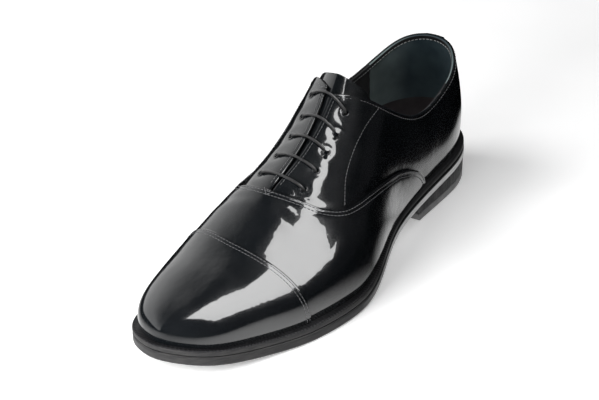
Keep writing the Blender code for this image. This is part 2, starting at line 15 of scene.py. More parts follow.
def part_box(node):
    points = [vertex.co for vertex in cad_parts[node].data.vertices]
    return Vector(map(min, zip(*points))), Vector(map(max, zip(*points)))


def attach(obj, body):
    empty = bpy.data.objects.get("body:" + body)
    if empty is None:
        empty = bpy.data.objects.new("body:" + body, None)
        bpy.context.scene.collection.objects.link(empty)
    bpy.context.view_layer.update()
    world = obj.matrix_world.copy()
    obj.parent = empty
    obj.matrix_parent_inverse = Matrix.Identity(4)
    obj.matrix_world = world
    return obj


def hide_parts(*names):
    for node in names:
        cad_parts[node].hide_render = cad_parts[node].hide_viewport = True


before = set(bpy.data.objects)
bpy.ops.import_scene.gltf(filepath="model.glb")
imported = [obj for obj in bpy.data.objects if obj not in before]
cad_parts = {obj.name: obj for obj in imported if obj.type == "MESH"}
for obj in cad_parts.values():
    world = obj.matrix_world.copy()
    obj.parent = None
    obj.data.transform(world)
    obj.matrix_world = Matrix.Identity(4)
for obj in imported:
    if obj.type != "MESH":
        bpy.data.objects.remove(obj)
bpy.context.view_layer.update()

MM = 0.001
GAP = 0.3                  # between curved pieces that meet
MERGE = 0.002              # grid points closer than this are one point

# Driving sizes of the last
LAST_LENGTH = 293.0        # feather line, back of heel to tip of toe
BALL_WIDTH = 92.0          # feather line across the ball
INSTEP_HEIGHT = 96.5       # ridge above the floor at the instep section
HEEL_RISE = 15.0           # under the sole at the back of the heel
TOE_SPRING = 9.0           # under the sole at the tip of the toe

# The sole stands flat between these two places, in shares of the length
FLAT_REAR = 0.607
FLAT_FRONT = 0.758
ARCH_POWER = 1.25          # how softly the arch leaves the floor
SPRING_POWER = 1.8         # how softly the toe leaves the floor

# Layers under the foot
OUTSOLE = 6.0
WELT = 3.8
FEATHER = OUTSOLE + GAP + WELT + GAP    # the upper's lower edge above the sole's underside
INSOLE_ABOVE_FEATHER = 2.0
INSOLE_INSET = 3.1
WELT_INSET = 2.4

# Leather
WALL = 2.2                 # upper and lining together
OVERLAY_GAP = 0.45
VAMP_LEATHER = 1.0
CAP_LEATHER = 1.7          # cap over the vamp's front edge
TAB_LEATHER = 0.9
TONGUE_LEATHER = 1.5
TONGUE_CLEARANCE = 0.9
TONGUE_SLANT = 0.028       # its rows run back by this much times the square of the distance across

# Heel
HEEL_BREAST = 0.262        # share of the length, at the floor
BREAST_LEAN = 3.0          # the breast's top stands this far forward
HEEL_LIFT = 5.0
HEEL_INSET_TOP = 0.6
HEEL_INSET_BOTTOM = 1.6

# Back of the heel: it swells back, then leans forward to the collar
HEEL_SWELL = 4.0
HEEL_SWELL_HEIGHT = 24.0
COLLAR_LEAN = 1.5
COLLAR_LEAN_HEIGHT = 62.0
HEEL_CURVE_REACH = 70.0    # the back curve fades out this far forward

# Throat and lace
FACING_TIP = 0.446         # share of the length where the facings end at the collar
THROAT_BASE = 0.633        # share of the length where the slit ends at the vamp
SLIT_FROM = 0.25           # share of the length behind which the slit has no say
SLIT_HALF_TIP = 2.6
SLIT_HALF_BASE = 0.7
EYELET_RADIUS = 1.5
LACE_SLANT = 1.1           # percent of the length by which the inner holes lie back

# Lace holes: station in percent of the length, and distance across from the ridge
Eyelet = namedtuple("Eyelet", "station from_ridge")
EYELETS = (
    Eyelet(44.7, 13.0),
    Eyelet(48.7, 13.0),
    Eyelet(52.7, 13.5),
    Eyelet(57.0, 15.0),
    Eyelet(61.4, 16.5),
)

# Strip over the back seam, from the collar down
TAB_HALF_WIDTH = 7.0
TAB_LENGTH = 26.0
TAB_BELOW_COLLAR = 1.0
TAB_REACH = 5.0            # percent of the length within which the strip lies

# Sections of the last. Station in percent of the length; lateral, medial and ridge_y in percent of the ball
# width from the axis; ridge_z in percent of the instep height; bulges in millimetres past the feather line;
# shoulder and crown in shares of the half width; low and high in shares of the section's height.
Section = namedtuple("Section", "station lateral medial ridge_y ridge_z bulge_out bulge_in"
                                " shoulder_out shoulder_in crown low high")
SECTIONS = (
    Section(0.00, 0.0, 0.0, 0.0, 166.0, 0.0, 0.0, 0.95, 0.95, 0.70, 0.20, 0.50),
    Section(1.70, 16.8, -16.8, 0.0, 166.0, 2.0, 2.0, 0.95, 0.95, 0.70, 0.20, 0.50),
    Section(7.50, 29.3, -29.3, 0.0, 166.0, 4.0, 4.0, 0.95, 0.95, 0.70, 0.20, 0.50),
    Section(16.4, 33.2, -32.6, 0.5, 164.0, 5.0, 5.0, 0.92, 0.92, 0.66, 0.20, 0.50),
    Section(27.3, 34.8, -29.9, 2.2, 151.0, 6.0, 6.5, 0.90, 0.92, 0.57, 0.22, 0.55),
    Section(36.9, 38.6, -31.0, 4.3, 130.5, 7.0, 11.0, 0.86, 0.99, 0.45, 0.26, 0.62),
    Section(47.8, 48.9, -34.2, 6.8, 100.0, 8.0, 12.5, 0.79, 0.96, 0.37, 0.34, 0.74),
    Section(59.7, 57.9, -39.7, 4.6, 78.0, 8.0, 9.5, 0.76, 0.82, 0.38, 0.42, 0.86),
    Section(69.3, 55.7, -43.7, -0.9, 62.5, 7.0, 7.0, 0.77, 0.78, 0.43, 0.48, 0.94),
    Section(77.8, 48.5, -45.4, -2.2, 49.2, 5.5, 5.5, 0.82, 0.82, 0.47, 0.52, 0.98),
    Section(85.3, 38.4, -42.2, -2.8, 43.5, 4.5, 4.5, 0.86, 0.86, 0.50, 0.54, 1.00),
    Section(92.2, 28.3, -37.0, -3.9, 38.7, 3.5, 3.5, 0.87, 0.87, 0.50, 0.55, 1.00),
    Section(96.9, 17.4, -27.0, -5.2, 34.7, 2.5, 2.5, 0.88, 0.88, 0.50, 0.55, 1.00),
    Section(99.15, 5.2, -16.1, -6.1, 31.1, 1.2, 1.2, 0.88, 0.88, 0.50, 0.55, 1.00),
    Section(100.0, -6.5, -6.5, -6.5, 27.5, 0.0, 0.0, 0.88, 0.88, 0.50, 0.55, 1.00),
)

# Collar line: height above the floor on the outer and inner side, station in percent of the length
Collar = namedtuple("Collar", "station outer inner")
COLLAR = (
    Collar(0.0, 86.0, 86.0),
    Collar(3.4, 83.0, 82.5),
    Collar(7.5, 78.0, 77.0),
    Collar(13.2, 73.0, 72.7),
    Collar(18.9, 69.5, 73.0),
    Collar(23.5, 70.0, 75.2),
    Collar(28.7, 76.3, 80.6),
    Collar(33.1, 85.6, 86.8),
    Collar(36.2, 93.1, 94.6),
    Collar(39.7, 101.2, 106.8),
    Collar(42.0, 104.8, 109.0),
    Collar(44.6, 106.6, 110.0),
)

# Upper edge of the vamp: height above the feather line, from the heel breast to the base of the throat
Seam = namedtuple("Seam", "station height")
VAMP_SEAM = (
    Seam(23.4, 1.5),
    Seam(23.8, 5.4),
    Seam(25.1, 10.6),
    Seam(26.9, 15.8),
    Seam(30.5, 23.2),
    Seam(35.4, 30.2),
    Seam(40.8, 35.7),
    Seam(46.1, 40.6),
    Seam(50.7, 43.6),
    Seam(54.8, 45.4),
    Seam(58.1, 46.8),
    Seam(60.4, 48.8),
    Seam(62.7, 51.7),
    Seam(63.6, 55.3),
    Seam(64.1, 57.3),
    Seam(64.4, 58.3),
)
VAMP_RIDGE = 64.4          # percent of the length where the vamp closes over the ridge

# Seam of the toe cap: station in percent of the length, across from the outer (-1) to the inner side (1)
CapSeam = namedtuple("CapSeam", "across station")
CAP_SEAM = (
    CapSeam(-1.0, 75.2),
    CapSeam(-0.75, 76.4),
    CapSeam(-0.4, 77.3),
    CapSeam(0.0, 76.1),
    CapSeam(0.4, 74.0),
    CapSeam(0.75, 72.2),
    CapSeam(1.0, 71.2),
)

# How far the sole's edge stands out from the feather line on the outer and inner side
Edge = namedtuple("Edge", "station outer inner")
SOLE_EDGE = (
    Edge(0.0, 3.0, 3.0),
    Edge(20.0, 3.0, 2.8),
    Edge(34.0, 2.4, 1.8),
    Edge(50.0, 3.6, 2.4),
    Edge(65.0, 6.0, 4.6),
    Edge(82.0, 6.3, 6.0),
    Edge(100.0, 6.4, 6.4),
)

# Half width of the tongue on each side of the ridge, station in percent of the length
Tongue = namedtuple("Tongue", "station half_width")
TONGUE = (
    Tongue(40.7, 18.0),
    Tongue(41.4, 21.5),
    Tongue(42.5, 23.0),
    Tongue(43.8, 23.0),
    Tongue(52.0, 18.0),
    Tongue(66.5, 14.0),
)

# Sizes that only the looks need
SIDES = (1, -1)            # outer and inner side
PLAN_POINTS = 800          # along each side of the sole
SHARP_ANGLE = math.radians(50)
QUARTER_LEATHER = 1.15
LINING_GAP = 0.1
LINING_BELOW = 0.7         # the lining's top edge under the collar's
UNDERLAP = 5.0             # the vamp runs this far under the cap
OVERLAY_INNER = 0.1        # inner face of an overlay above the skin
VAMP_OUTER = OVERLAY_GAP + VAMP_LEATHER
CAP_OUTER = OVERLAY_GAP + CAP_LEATHER
CAP_INNER = VAMP_OUTER + 0.05
TAB_OUTER = OVERLAY_GAP + TAB_LEATHER
FOOT_DROP = GAP - 0.02     # overlays end just above the welt
ROLL_RADIUS = 0.75
ROLL_ROWS = (1.6, 1.0, 0.65, 0.4, 0.2, 0.07, 0.0)     # rows near a rolled edge, by distance from it
ROLL_FLOOR = 0.02          # those rows stay above this share of the edge's rise
TIP_BLEND = 0.026          # how softly the collar turns into the slit, in rise
TIP_SLOPE = 0.04           # rise per percent by which the collar line runs on past the facing tip
NO_SLIT = 2.0              # a rise past every edge, where there is no slit

# Grids: stations in percent of the length with the steps up to each, rows, and how the rows bunch
QUARTER_STOPS = ((0.0, 0), (3.0, 12), (10.0, 14), (34.0, 42), (42.5, 40), (46.5, 60), (63.0, 84), (66.5, 8))
QUARTER_END = QUARTER_STOPS[-1][0]
QUARTER_ROWS = 64
QUARTER_BUNCH = 0.8
LINING_STOPS = ((0.0, 0), (3.0, 8), (10.0, 8), (34.0, 24), (42.5, 24), (46.5, 30), (63.0, 30))
LINING_ROWS = 34
TOPLINE_STOPS = ((0.0, 0), (3.0, 10), (10.0, 12), (34.0, 36), (41.0, 20))
TOPLINE_ROWS = 8
WING_STOPS = ((23.4, 0), (24.4, 14), (29.0, 22), (58.0, 70), (61.5, 16), (63.9, 34), (64.4, 24))
WING_ROWS = 40
WING_BUNCH = 0.85
VAMP_FINE_FROM = 61.0      # the vamp's edge has closer points from here to the ridge
VAMP_EASE_POINTS = 1400    # along the vamp's edge, whose corners are eased
VAMP_EASE_REACH = 45       # over this many points to each side
SADDLE_STEPS = (0.0, 0.1, 0.25, 0.45, 0.7, 1.0, 1.5, 2.2, 3.2)     # first columns in front of the throat
SADDLE_COLUMNS = 40
CAP_COLUMNS = 90
CAP_ROWS = 64
TAB_GRID_ROWS = 40
TAB_GRID_COLUMNS = 14
TAB_LOOKUP_POINTS = 200
TONGUE_ROWS = 18
TONGUE_ROUND_STEPS = 13    # round its top
TONGUE_LONG_STEPS = 39     # from there to its front end

# Inside of the collar
LINING_SEAM = 11.5         # percent of the length where the lining's two parts meet
LINING_SEAM_GAP = 0.3
LINING_SEAM_ROOM = 0.5     # no other column lies this near the seam
TOPLINE_BAND = 3.6         # width of the black strip inside the collar
TOPLINE_LEATHER = 0.4
TOPLINE_SEAT = 0.02        # between strip and lining
TOPLINE_STITCH = 3.2       # stitch row on it, under the edge
PAD_TOP = 0.0396           # the heel pad's upper edge above the floor, in metres
PAD_FADE = 0.0005
LINING_FADE = (-0.142, -0.118)     # where the lining turns from deep to light, along X in metres

# Stitches
STITCH_LENGTH = 1.9
STITCH_GAP = 0.5
STITCH_RADIUS = 0.24
STITCH_SIDES = 6
STITCH_TRIM = 8            # points of a seam's line left bare at each end
VAMP_ROWS_FROM_EDGE = (1.5, 3.7)
CAP_ROWS_FROM_EDGE = (1.6, 3.6)
# A stitch along its length, with width and lift in shares of the thread's radius
StitchPoint = namedtuple("StitchPoint", "share width lift")
STITCH_SHAPE = (
    StitchPoint(0.0, 0.5, -0.7),
    StitchPoint(0.14, 0.95, 0.1),
    StitchPoint(0.5, 1.0, 0.3),
    StitchPoint(0.86, 0.95, 0.1),
    StitchPoint(1.0, 0.5, -0.7),
)

# Raised edge round each lace hole
EYELET_RIM_HEIGHT = 0.3
EYELET_RIM_RADIUS = 2.2
EYELET_RIM_WIDTH = 0.6
EYELET_ROLL = 0.5          # radius of the rolled edge round a hole
EYELET_TURN_STEPS = 32
EYELET_ROLL_STEPS = 12
DRILL_SIDES = 24

# The facings bend along the row of holes and dip a little at each
BEND_HEIGHT = 0.5
BEND_HALF_WIDTH = 6.0
BEND_OUTSIDE = 2.0         # from the holes outwards to the bend
BEND_RUN_ON = 8.0          # the bend runs on past the first and last hole
BEND_POINTS = 120
BEND_FADE = 6.0            # it dies out towards the vamp's edge over this distance
DIMPLE_DEPTH = 1.0
DIMPLE_RADIUS = 4.5

# Soft troughs (below 0) and ridges in the leather: station in percent of the length, side, rise, direction
# in degrees from the foot's length, and half sizes and height in millimetres
Crease = namedtuple("Crease", "station side rise turn half_length half_width height")
CREASES = (
    Crease(66.6, 1, 0.80, 70, 12, 3.2, -0.30),
    Crease(68.8, 1, 0.72, 76, 15, 4.0, 0.16),
    Crease(66.6, -1, 0.78, 70, 14, 3.2, -0.30),
    Crease(68.8, -1, 0.66, 76, 15, 4.0, 0.16),
    Crease(60.0, 1, 0.34, 24, 18, 5.0, -0.18),
    Crease(56.0, -1, 0.40, 24, 18, 5.0, -0.18),
    Crease(12.0, 1, 0.22, 15, 14, 7.0, -0.18),
    Crease(17.0, 1, 0.26, 60, 12, 6.0, 0.15),
)
# The quarters dip where the vamp is sewn on, and its stitches press it down
SEAM_DIP = 0.6
SEAM_DIP_WIDTH = 4.0
STITCH_PRESS = 0.22
STITCH_PRESS_WIDTH = 1.8

COLLAR_STITCH = 2.4        # stitch row under the collar's edge
COLLAR_STITCH_RUN = (0.6, 63.0)    # percent of the length between which it runs
# Stitch row along the back of the facings: station in percent of the length, height above the feather line
FacingSeam = namedtuple("FacingSeam", "station height")
FACING_SEAM = (
    FacingSeam(36.7, 73.8),
    FacingSeam(42.0, 71.4),
    FacingSeam(47.8, 65.5),
    FacingSeam(51.1, 61.1),
    FacingSeam(53.3, 57.8),
    FacingSeam(57.7, 48.2),
)
FACING_SEAM_POINTS = 300

# Lace: how a bar comes up out of its hole, by distance towards the ridge and height over the skin
Dive = namedtuple("Dive", "inward height")
LACE_DIVE = (Dive(0.0, -2.6), Dive(0.0, -1.0), Dive(0.3, 0.3), Dive(1.2, 0.9), Dive(2.6, 1.05))
LACE_ABOVE = 0.1
LACE_THICKNESS = 1.65
LACE_SIDES = 14
LACE_STEPS = 70
LACE_CROSS_POINTS = 4      # from the end of the dive to the ridge

# Edges of the sole's layers, lowest first: inset from the edge and height over the underside
OUTSOLE_EDGE = ((1.2, 0.0), (0.5, 0.2), (0.1, 0.7), (0.0, 1.3),
                (0.0, 4.2), (0.05, 5.0), (0.3, 5.6), (0.9, 6.0))
INSOLE_EDGE = ((0.0, 0.6), (0.2, 0.2), (0.6, 0.0))     # further inset and depth under the sock's top
# Edges of the heel's layers, lowest first: share of the layer's height and further inset
HEEL_COLUMNS = 70
HEEL_RUNGS = 8
BLOCK_EDGE = ((0.0, 0.3), (0.04, 0.05), (0.10, 0.0), (0.5, 0.0), (0.9, 0.0), (0.96, 0.05), (1.0, 0.3))
LIFT_EDGE = ((0.0, 0.6), (0.05, 0.15), (0.16, 0.0), (0.85, 0.0), (0.95, 0.12), (1.0, 0.5))

# Welt, round its section: distance in from the edge (None at its inner side), height over its base,
# and share of the ribs
Profile = namedtuple("Profile", "from_edge lift rib")
WELT_PROFILE = (
    Profile(None, 0.0, 0.0),
    Profile(None, WELT, 0.0),
    Profile(1.9, WELT, 0.0),
    Profile(1.5, WELT - 0.05, 1.0),
    Profile(0.8, WELT - 0.10, 1.0),
    Profile(0.25, WELT - 0.45, 0.6),
    Profile(0.0, WELT - 1.1, 0.2),
    Profile(0.0, 1.0, 0.0),
    Profile(0.15, 0.4, 0.0),
    Profile(0.7, 0.0, 0.0),
)
RIB_START = 0.36           # share of the length where the ribs begin
RIB_FADE = 0.06
RIB_PITCH = 2.1
RIB_HEIGHT = 0.22

# Sole's edge: where it turns from pale painted floor reflection to dark along X, in metres in the row frame
SOLE_PAINTED_REFLECTION_TO = -0.045
SOLE_DARK_FROM = 0.035
SOLE_EDGE_GREY = ((0.024, 0.024, 0.025), (0.040, 0.039, 0.039))
WELT_GREY_SPAN = (0.50, 0.56)      # share of the way round the welt's section where its grey edge begins
SOLE_BLACK_SPAN = (0.56, 0.60)     # share of the way up the sole's edge where its black part begins

# Matt and satin finishes: two colours, roughness, the grain's size and depth in millimetres and its
# stretch, and shine
EVEN = (1.0, 1.0, 1.0)
STREAKS = (1.0, 1.0, 8.0)
BLACK = (0.0, 0.0, 0.0)
WHITE = (1.0, 1.0, 1.0)
ROUGHNESS_SPREAD = 0.06
GRAIN_STRENGTH = 0.6
Soft = namedtuple("Soft", "name low high roughness grain depth stretch shine")
SOFT_FINISHES = (
    Soft("lining_black", (0.006, 0.006, 0.007), (0.011, 0.011, 0.012), 0.6, 0.6, 0.05, EVEN, 0.3),
    Soft("thread", (0.075, 0.075, 0.078), (0.120, 0.120, 0.124), 0.5, 0.3, 0.05, EVEN, 0.3),
    Soft("waxed_lace", (0.016, 0.016, 0.016), (0.028, 0.028, 0.029), 0.32, 0.5, 0.10, EVEN, 1.0),
    Soft("heel_stack", (0.030, 0.030, 0.031), (0.068, 0.068, 0.069), 0.6, 0.8, 0.08, (5.0, 5.0, 1.0), 0.1),
    Soft("heel_rubber", (0.20, 0.20, 0.20), (0.28, 0.28, 0.28), 0.6, 0.8, 0.06, EVEN, 0.1),
    Soft("pale_thread", (0.28, 0.30, 0.30), (0.38, 0.40, 0.40), 0.5, 0.3, 0.05, EVEN, 0.3),
)

# Studio, in metres in the row frame, and the photograph's camera
FLOOR_SIZE = 12.0
FLOOR_Z = -0.0002
FLOOR_GLOW = 0.3           # keeps its shadows pale
FLOOR_CARD_SIZE = 1.0
FLOOR_CARD_Z = -0.0004
WORLD_GREY = (0.02, 0.02, 0.022, 1.0)
# Cards that only reflections see: middle, two directions in the card, its corners along them, radiance, and
# the heights between which it fades
Card = namedtuple("Card", "name middle right up corners radiance fade")
CARDS = (
    Card("card_key", (0.0, 0.563, 1.06), (1.0, 0.0, 0.0), (0.0, -0.883, 0.469),
         ((-0.55, -1.15), (-0.10, -1.00), (0.05, -0.60), (0.30, -0.30), (0.30, 0.92), (-0.35, 1.02),
          (-0.50, 0.50)), 7.3, None),
    Card("card_inner_side", (0.0, -1.0, 0.0), (1.0, 0.0, 0.0), (0.0, 0.0, 1.0),
         ((-1.5, 0.05), (2.3, 0.05), (2.3, 0.50), (1.8, 0.83), (1.1, 1.45), (0.8, 1.80), (-0.9, 1.80),
          (-1.5, 1.00)), 1.05, (0.8, 1.8)),
    Card("flag_low", (0.0023, 0.0727, 0.1609), (-0.985, -0.174, 0.0), (0.142, -0.807, 0.574),
         ((-0.028, 0.014), (-0.006, 0.004), (0.004, 0.010), (0.014, 0.020), (0.10, 0.022), (0.11, -0.11),
          (-0.018, -0.10), (-0.022, -0.045)), 0.0, None),
    Card("flag_high", (0.0023, 0.0727, 0.1609), (-0.985, -0.174, 0.0), (0.142, -0.807, 0.574),
         ((-0.048, 0.055), (0.04, 0.05), (0.04, 0.15), (-0.048, 0.15)), 0.0, None),
)
# Pools of light on the floor that only reflections see: middle and half sizes, radiance, and the share of
# the way out to which a pool is even
Pool = namedtuple("Pool", "x y half_x half_y radiance flat")
POOLS = (
    Pool(0.115, 0.03, 0.15, 0.19, 1.5, 0.2),
    Pool(-0.04, 0.0, 0.075, 0.070, 0.55, 0.4),
    Pool(-0.135, 0.0, 0.09, 0.063, 0.72, 0.74),
)
# Lamps that light floor and matt surfaces without being mirrored: place, the point faced, size and power
Lamp = namedtuple("Lamp", "name place faces size power")
LAMPS = (
    Lamp("lamp_inner", (0.60, -1.10, 1.60), (0.0, 0.05, 0.0), 1.0, 23.0),
    Lamp("lamp_above", (0.8, 0.3, 2.30), (0.0, 0.0, 0.0), 2.5, 29.0),
    Lamp("lamp_toe", (0.50, -0.02, 0.20), (0.15, 0.0, 0.0), 0.25, 3.2),
)
CAMERA_AZIMUTH = math.radians(124.812)
CAMERA_ELEVATION = math.radians(29.511)
CAMERA_ROLL = math.radians(-3.029)
CAMERA_DISTANCE = 2.2
CAMERA_TARGET = (152.95, -2.38, 43.13)     # in the last's frame
IMAGE_WIDTH = 599
CAMERA_FOCUS = 3708.0      # focal length in pixels
SENSOR_WIDTH = 36.0
CAMERA_LENS = CAMERA_FOCUS / IMAGE_WIDTH * SENSOR_WIDTH


def columns(rows):
    """The table's columns by name."""
    return {name: np.array([getattr(row, name) for row in rows], float) for name in rows[0]._fields}


def smooth_curve(places, values, flat_ends=False):
    """A curve of even curvature through the values, level at its ends where asked."""
    count = len(places)
    step = np.diff(places)
    slope = np.diff(values) / step
    matrix = np.zeros((count, count))
    right = np.zeros(count)
    for i in range(1, count - 1):
        matrix[i, i - 1:i + 2] = step[i - 1], 2 * (step[i - 1] + step[i]), step[i]
        right[i] = 6 * (slope[i] - slope[i - 1])
    matrix[0, 0] = matrix[-1, -1] = 1.0
    if flat_ends:
        matrix[0, :2] = 2 * step[0], step[0]
        matrix[-1, -2:] = step[-1], 2 * step[-1]
        right[0] = 6 * slope[0]
        right[-1] = -6 * slope[-1]
    bend = np.linalg.solve(matrix, right)

    def curve(place):
        place = np.asarray(place, float)
        i = np.clip(np.searchsorted(places, place) - 1, 0, count - 2)
        after = place - places[i]
        before = step[i] - after
        cubic = (bend[i] * before ** 3 + bend[i + 1] * after ** 3) / (6 * step[i])
        line = (values[i] / step[i] - bend[i] * step[i] / 6) * before
        return cubic + line + (values[i + 1] / step[i] - bend[i + 1] * step[i] / 6) * after

    return curve


def table_curve(rows, value):
    """Smooth curve of one of a table's values over its first column."""
    table = columns(rows)
    return smooth_curve(table[rows[0]._fields[0]], table[value])


def side_curve(rows, side):
    """The same for a table with values of the outer and inner side."""
    return table_curve(rows, "outer" if side > 0 else "inner")


def sole_underside(x):
    """Height of the sole's underside: heel and arch behind the flat tread, toe spring in front."""
    share = np.asarray(x, float) / LAST_LENGTH
    behind = np.clip((FLAT_REAR - share) / FLAT_REAR, 0, 1)
    ahead = np.clip((share - FLAT_FRONT) / (1 - FLAT_FRONT), 0, None)
    return HEEL_RISE * np.sin(math.pi / 2 * behind ** ARCH_POWER) + TOE_SPRING * ahead ** SPRING_POWER


class Last:
    """The last as a surface: a place along the feather line, a side, and a rise from feather to ridge."""

    def __init__(self):
        table = columns(SECTIONS)
        table["station"] *= LAST_LENGTH / 100
        for name in ("lateral", "medial", "ridge_y"):
            table[name] *= BALL_WIDTH / 100
        table["ridge_z"] *= INSTEP_HEIGHT / 100
        half_width = (table["lateral"] - table["medial"]) / 2
        self.places = np.r_[0, np.cumsum(np.hypot(np.diff(table["station"]), np.diff(half_width)))]
        self.end = self.places[-1]
        self.curves = {name: smooth_curve(self.places, values, flat_ends=name == "station")
                       for name, values in table.items()}
        self.back_curve = self.solve_back_curve()
        self.fine = np.linspace(0, self.end, 4000)
        self.fine_x = self.curves["station"](self.fine)

    @staticmethod
    def solve_back_curve():
        """Cubic in the height above the feather: level at the swell, then through the collar's lean."""
        low = HEEL_SWELL_HEIGHT
        top = COLLAR_LEAN_HEIGHT
        matrix = [[low, low ** 2, low ** 3], [1, 2 * low, 3 * low ** 2], [top, top ** 2, top ** 3]]
        return np.linalg.solve(np.array(matrix), np.array([-HEEL_SWELL, 0.0, COLLAR_LEAN]))

    def place(self, percent):
        """Place along the feather line of a station in percent of the length."""
        return np.interp(np.asarray(percent, float) * LAST_LENGTH / 100, self.fine_x, self.fine)

    def at(self, name, place):
        return self.curves[name](place)

    def station(self, place):
        return np.clip(self.at("station", place), 0, LAST_LENGTH)

    def percent(self, place):
        return self.station(place) / LAST_LENGTH * 100

    def feather_z(self, place):
        return sole_underside(self.station(place)) + FEATHER

    def skin(self, place, side, rise):
        """Points on the upper's outer face; side is 1 outside and -1 inside, rise goes from 0 to 1."""
        place, rise = np.broadcast_arrays(np.asarray(place, float), np.asarray(rise, float))
        outer = side > 0
        feather = self.at("lateral" if outer else "medial", place)
        bulge = self.at("bulge_out" if outer else "bulge_in", place)
        shoulder = self.at("shoulder_out" if outer else "shoulder_in", place)
        ridge_y = self.at("ridge_y", place)
        half = feather - ridge_y
        base = self.feather_z(place)
        height = self.at("ridge_z", place) - base
        across = (feather, feather + side * bulge, ridge_y + shoulder * half,
                  ridge_y + self.at("crown", place) * half, ridge_y)
        up = (0 * height, self.at("low", place) * height, self.at("high", place) * height, height, height)
        weight = [math.comb(4, k) * rise ** k * (1 - rise) ** (4 - k) for k in range(5)]
        y = sum(w * v for w, v in zip(weight, across))
        z = sum(w * v for w, v in zip(weight, up))
        x = self.station(place)
        reach = np.clip(1 - x / HEEL_CURVE_REACH, 0, 1) ** 2
        lift = np.clip(z, 0, 1.4 * COLLAR_LEAN_HEIGHT)
        lean = sum(c * lift ** (k + 1) for k, c in enumerate(self.back_curve))
        return np.stack([x + reach * lean, y, base + z], axis=-1)

    def normal(self, place, side, rise):
        """Outward direction of the skin, level across at the ridge and at both ends."""
        place, rise = np.broadcast_arrays(np.asarray(place, float), np.asarray(rise, float))
        step_p = 0.2
        step_r = 0.004
        before = np.clip(place - step_p, 0, self.end - 2 * step_p)
        after = np.clip(place + step_p, 2 * step_p, self.end)
        below = np.clip(rise - step_r, 0, 1 - 2 * step_r)
        above = np.clip(rise + step_r, 2 * step_r, 1)
        middle = (before + after) / 2
        along = self.skin(after, side, rise) - self.skin(before, side, rise)
        upward = self.skin(middle, side, above) - self.skin(middle, side, below)
        out = side * np.cross(upward, along)
        level = (rise >= 1) | (place <= 0) | (place >= self.end)
        out[..., 1] = np.where(level, 0, out[..., 1])
        return out / np.linalg.norm(out, axis=-1, keepdims=True)

    def offset(self, place, side, rise, distance):
        return self.skin(place, side, rise) + distance * self.normal(place, side, rise)

    def solve_rise(self, place, side, measure, target, low):
        """Rise where a measure of the section that grows with the rise reaches its target."""
        place = np.asarray(place, float)
        lower = np.full(place.shape, float(low))
        upper = np.ones(place.shape)
        for _ in range(40):
            middle = (lower + upper) / 2
            under = measure(self.skin(place, side, middle), place) < target
            lower = np.where(under, middle, lower)
            upper = np.where(under, upper, middle)
        return (lower + upper) / 2

    def rise_at_height(self, place, side, z):
        return self.solve_rise(place, side, lambda point, _: point[..., 2], z, 0)

    def rise_at_distance(self, place, side, distance):
        """Rise where the skin is so far across from the ridge, above its shoulder."""
        def nearness(point, at_place):
            return -side * (point[..., 1] - self.at("ridge_y", at_place))
        return self.solve_rise(place, side, nearness, -np.asarray(distance, float), 0.45)


LAST = Last()


def cap_place(side, rise):
    """Place of the toe cap's seam along the feather line, at a rise on one side."""
    return LAST.place(table_curve(CAP_SEAM, "station")(-side * (1 - rise)))


def rise_across(place, side, distance):
    """Rise at a distance across from the ridge, which is 1 on the ridge itself."""
    return np.where(distance == 0, 1.0, LAST.rise_at_distance(place, side, distance))


def lace_place(eyelet, side, across):
    """Place along the feather line of a lace bar, at a distance across from the ridge."""
    return LAST.place(eyelet.station - LACE_SLANT * (1 - side * across / eyelet.from_ridge) / 2)


def eyelet_point(eyelet, side):
    """Middle of a lace hole on the skin, with the skin's direction there."""
    place = lace_place(eyelet, side, eyelet.from_ridge)
    rise = LAST.rise_at_distance(place, side, eyelet.from_ridge)
    return LAST.skin(place, side, rise), LAST.normal(place, side, rise)


def outline(side, distance):
    """Plan of the feather line on one side, moved outward by a distance along it, from heel to toe."""
    step = 0.05
    name = "lateral" if side > 0 else "medial"
    places = np.linspace(0, LAST.end, PLAN_POINTS)
    before = np.clip(places - step, 0, LAST.end)
    after = np.clip(places + step, 0, LAST.end)
    dx = LAST.station(after) - LAST.station(before)
    dx[[0, -1]] = 0
    dy = LAST.at(name, after) - LAST.at(name, before)
    size = np.hypot(dx, dy)
    x = LAST.station(places) - side * distance(places, side) * dy / size
    y = LAST.at(name, places) + side * distance(places, side) * dx / size
    return x, y


def sole_edge(inset=0.0):
    """Distance of the sole's edge from the feather line, along it."""
    def distance(places, side):
        return side_curve(SOLE_EDGE, side)(LAST.percent(places)) - inset

    return distance


def inside_feather(inset):
    return lambda places, side: np.full(places.shape, -inset)


def under_plus(distance):
    """Height a fixed distance above the sole's underside."""
    return lambda x: sole_underside(x) + distance


def level(height):
    return lambda x: np.full(x.shape, float(height))


# Frame and helpers

def row_shift():
    """Move from the last's own frame to the row frame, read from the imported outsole."""
    low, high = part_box("outsole")
    outer_x, outer_y = outline(1, sole_edge())
    inner_y = outline(-1, sole_edge())[1]
    middle_y = (outer_y.max() + inner_y.min()) / 2
    return np.array([low.x / MM - outer_x[0], (low.y + high.y) / 2 / MM - middle_y, 0.0])


SHIFT = row_shift()


def to_row(points):
    """Points of the last's frame, in millimetres, as points of the row frame, in metres."""
    return (np.asarray(points, float) + SHIFT) * MM


def unit(vectors):
    return vectors / np.maximum(np.linalg.norm(vectors, axis=-1, keepdims=True), 1e-12)


def grid_faces(rows, cols, first):
    """Faces of a grid of points, numbered row by row."""
    number = first + np.arange(rows * cols).reshape(rows, cols)
    corners = (number[:-1, :-1], number[1:, :-1], number[1:, 1:], number[:-1, 1:])
    return np.stack(corners, axis=-1).reshape(-1, 4)


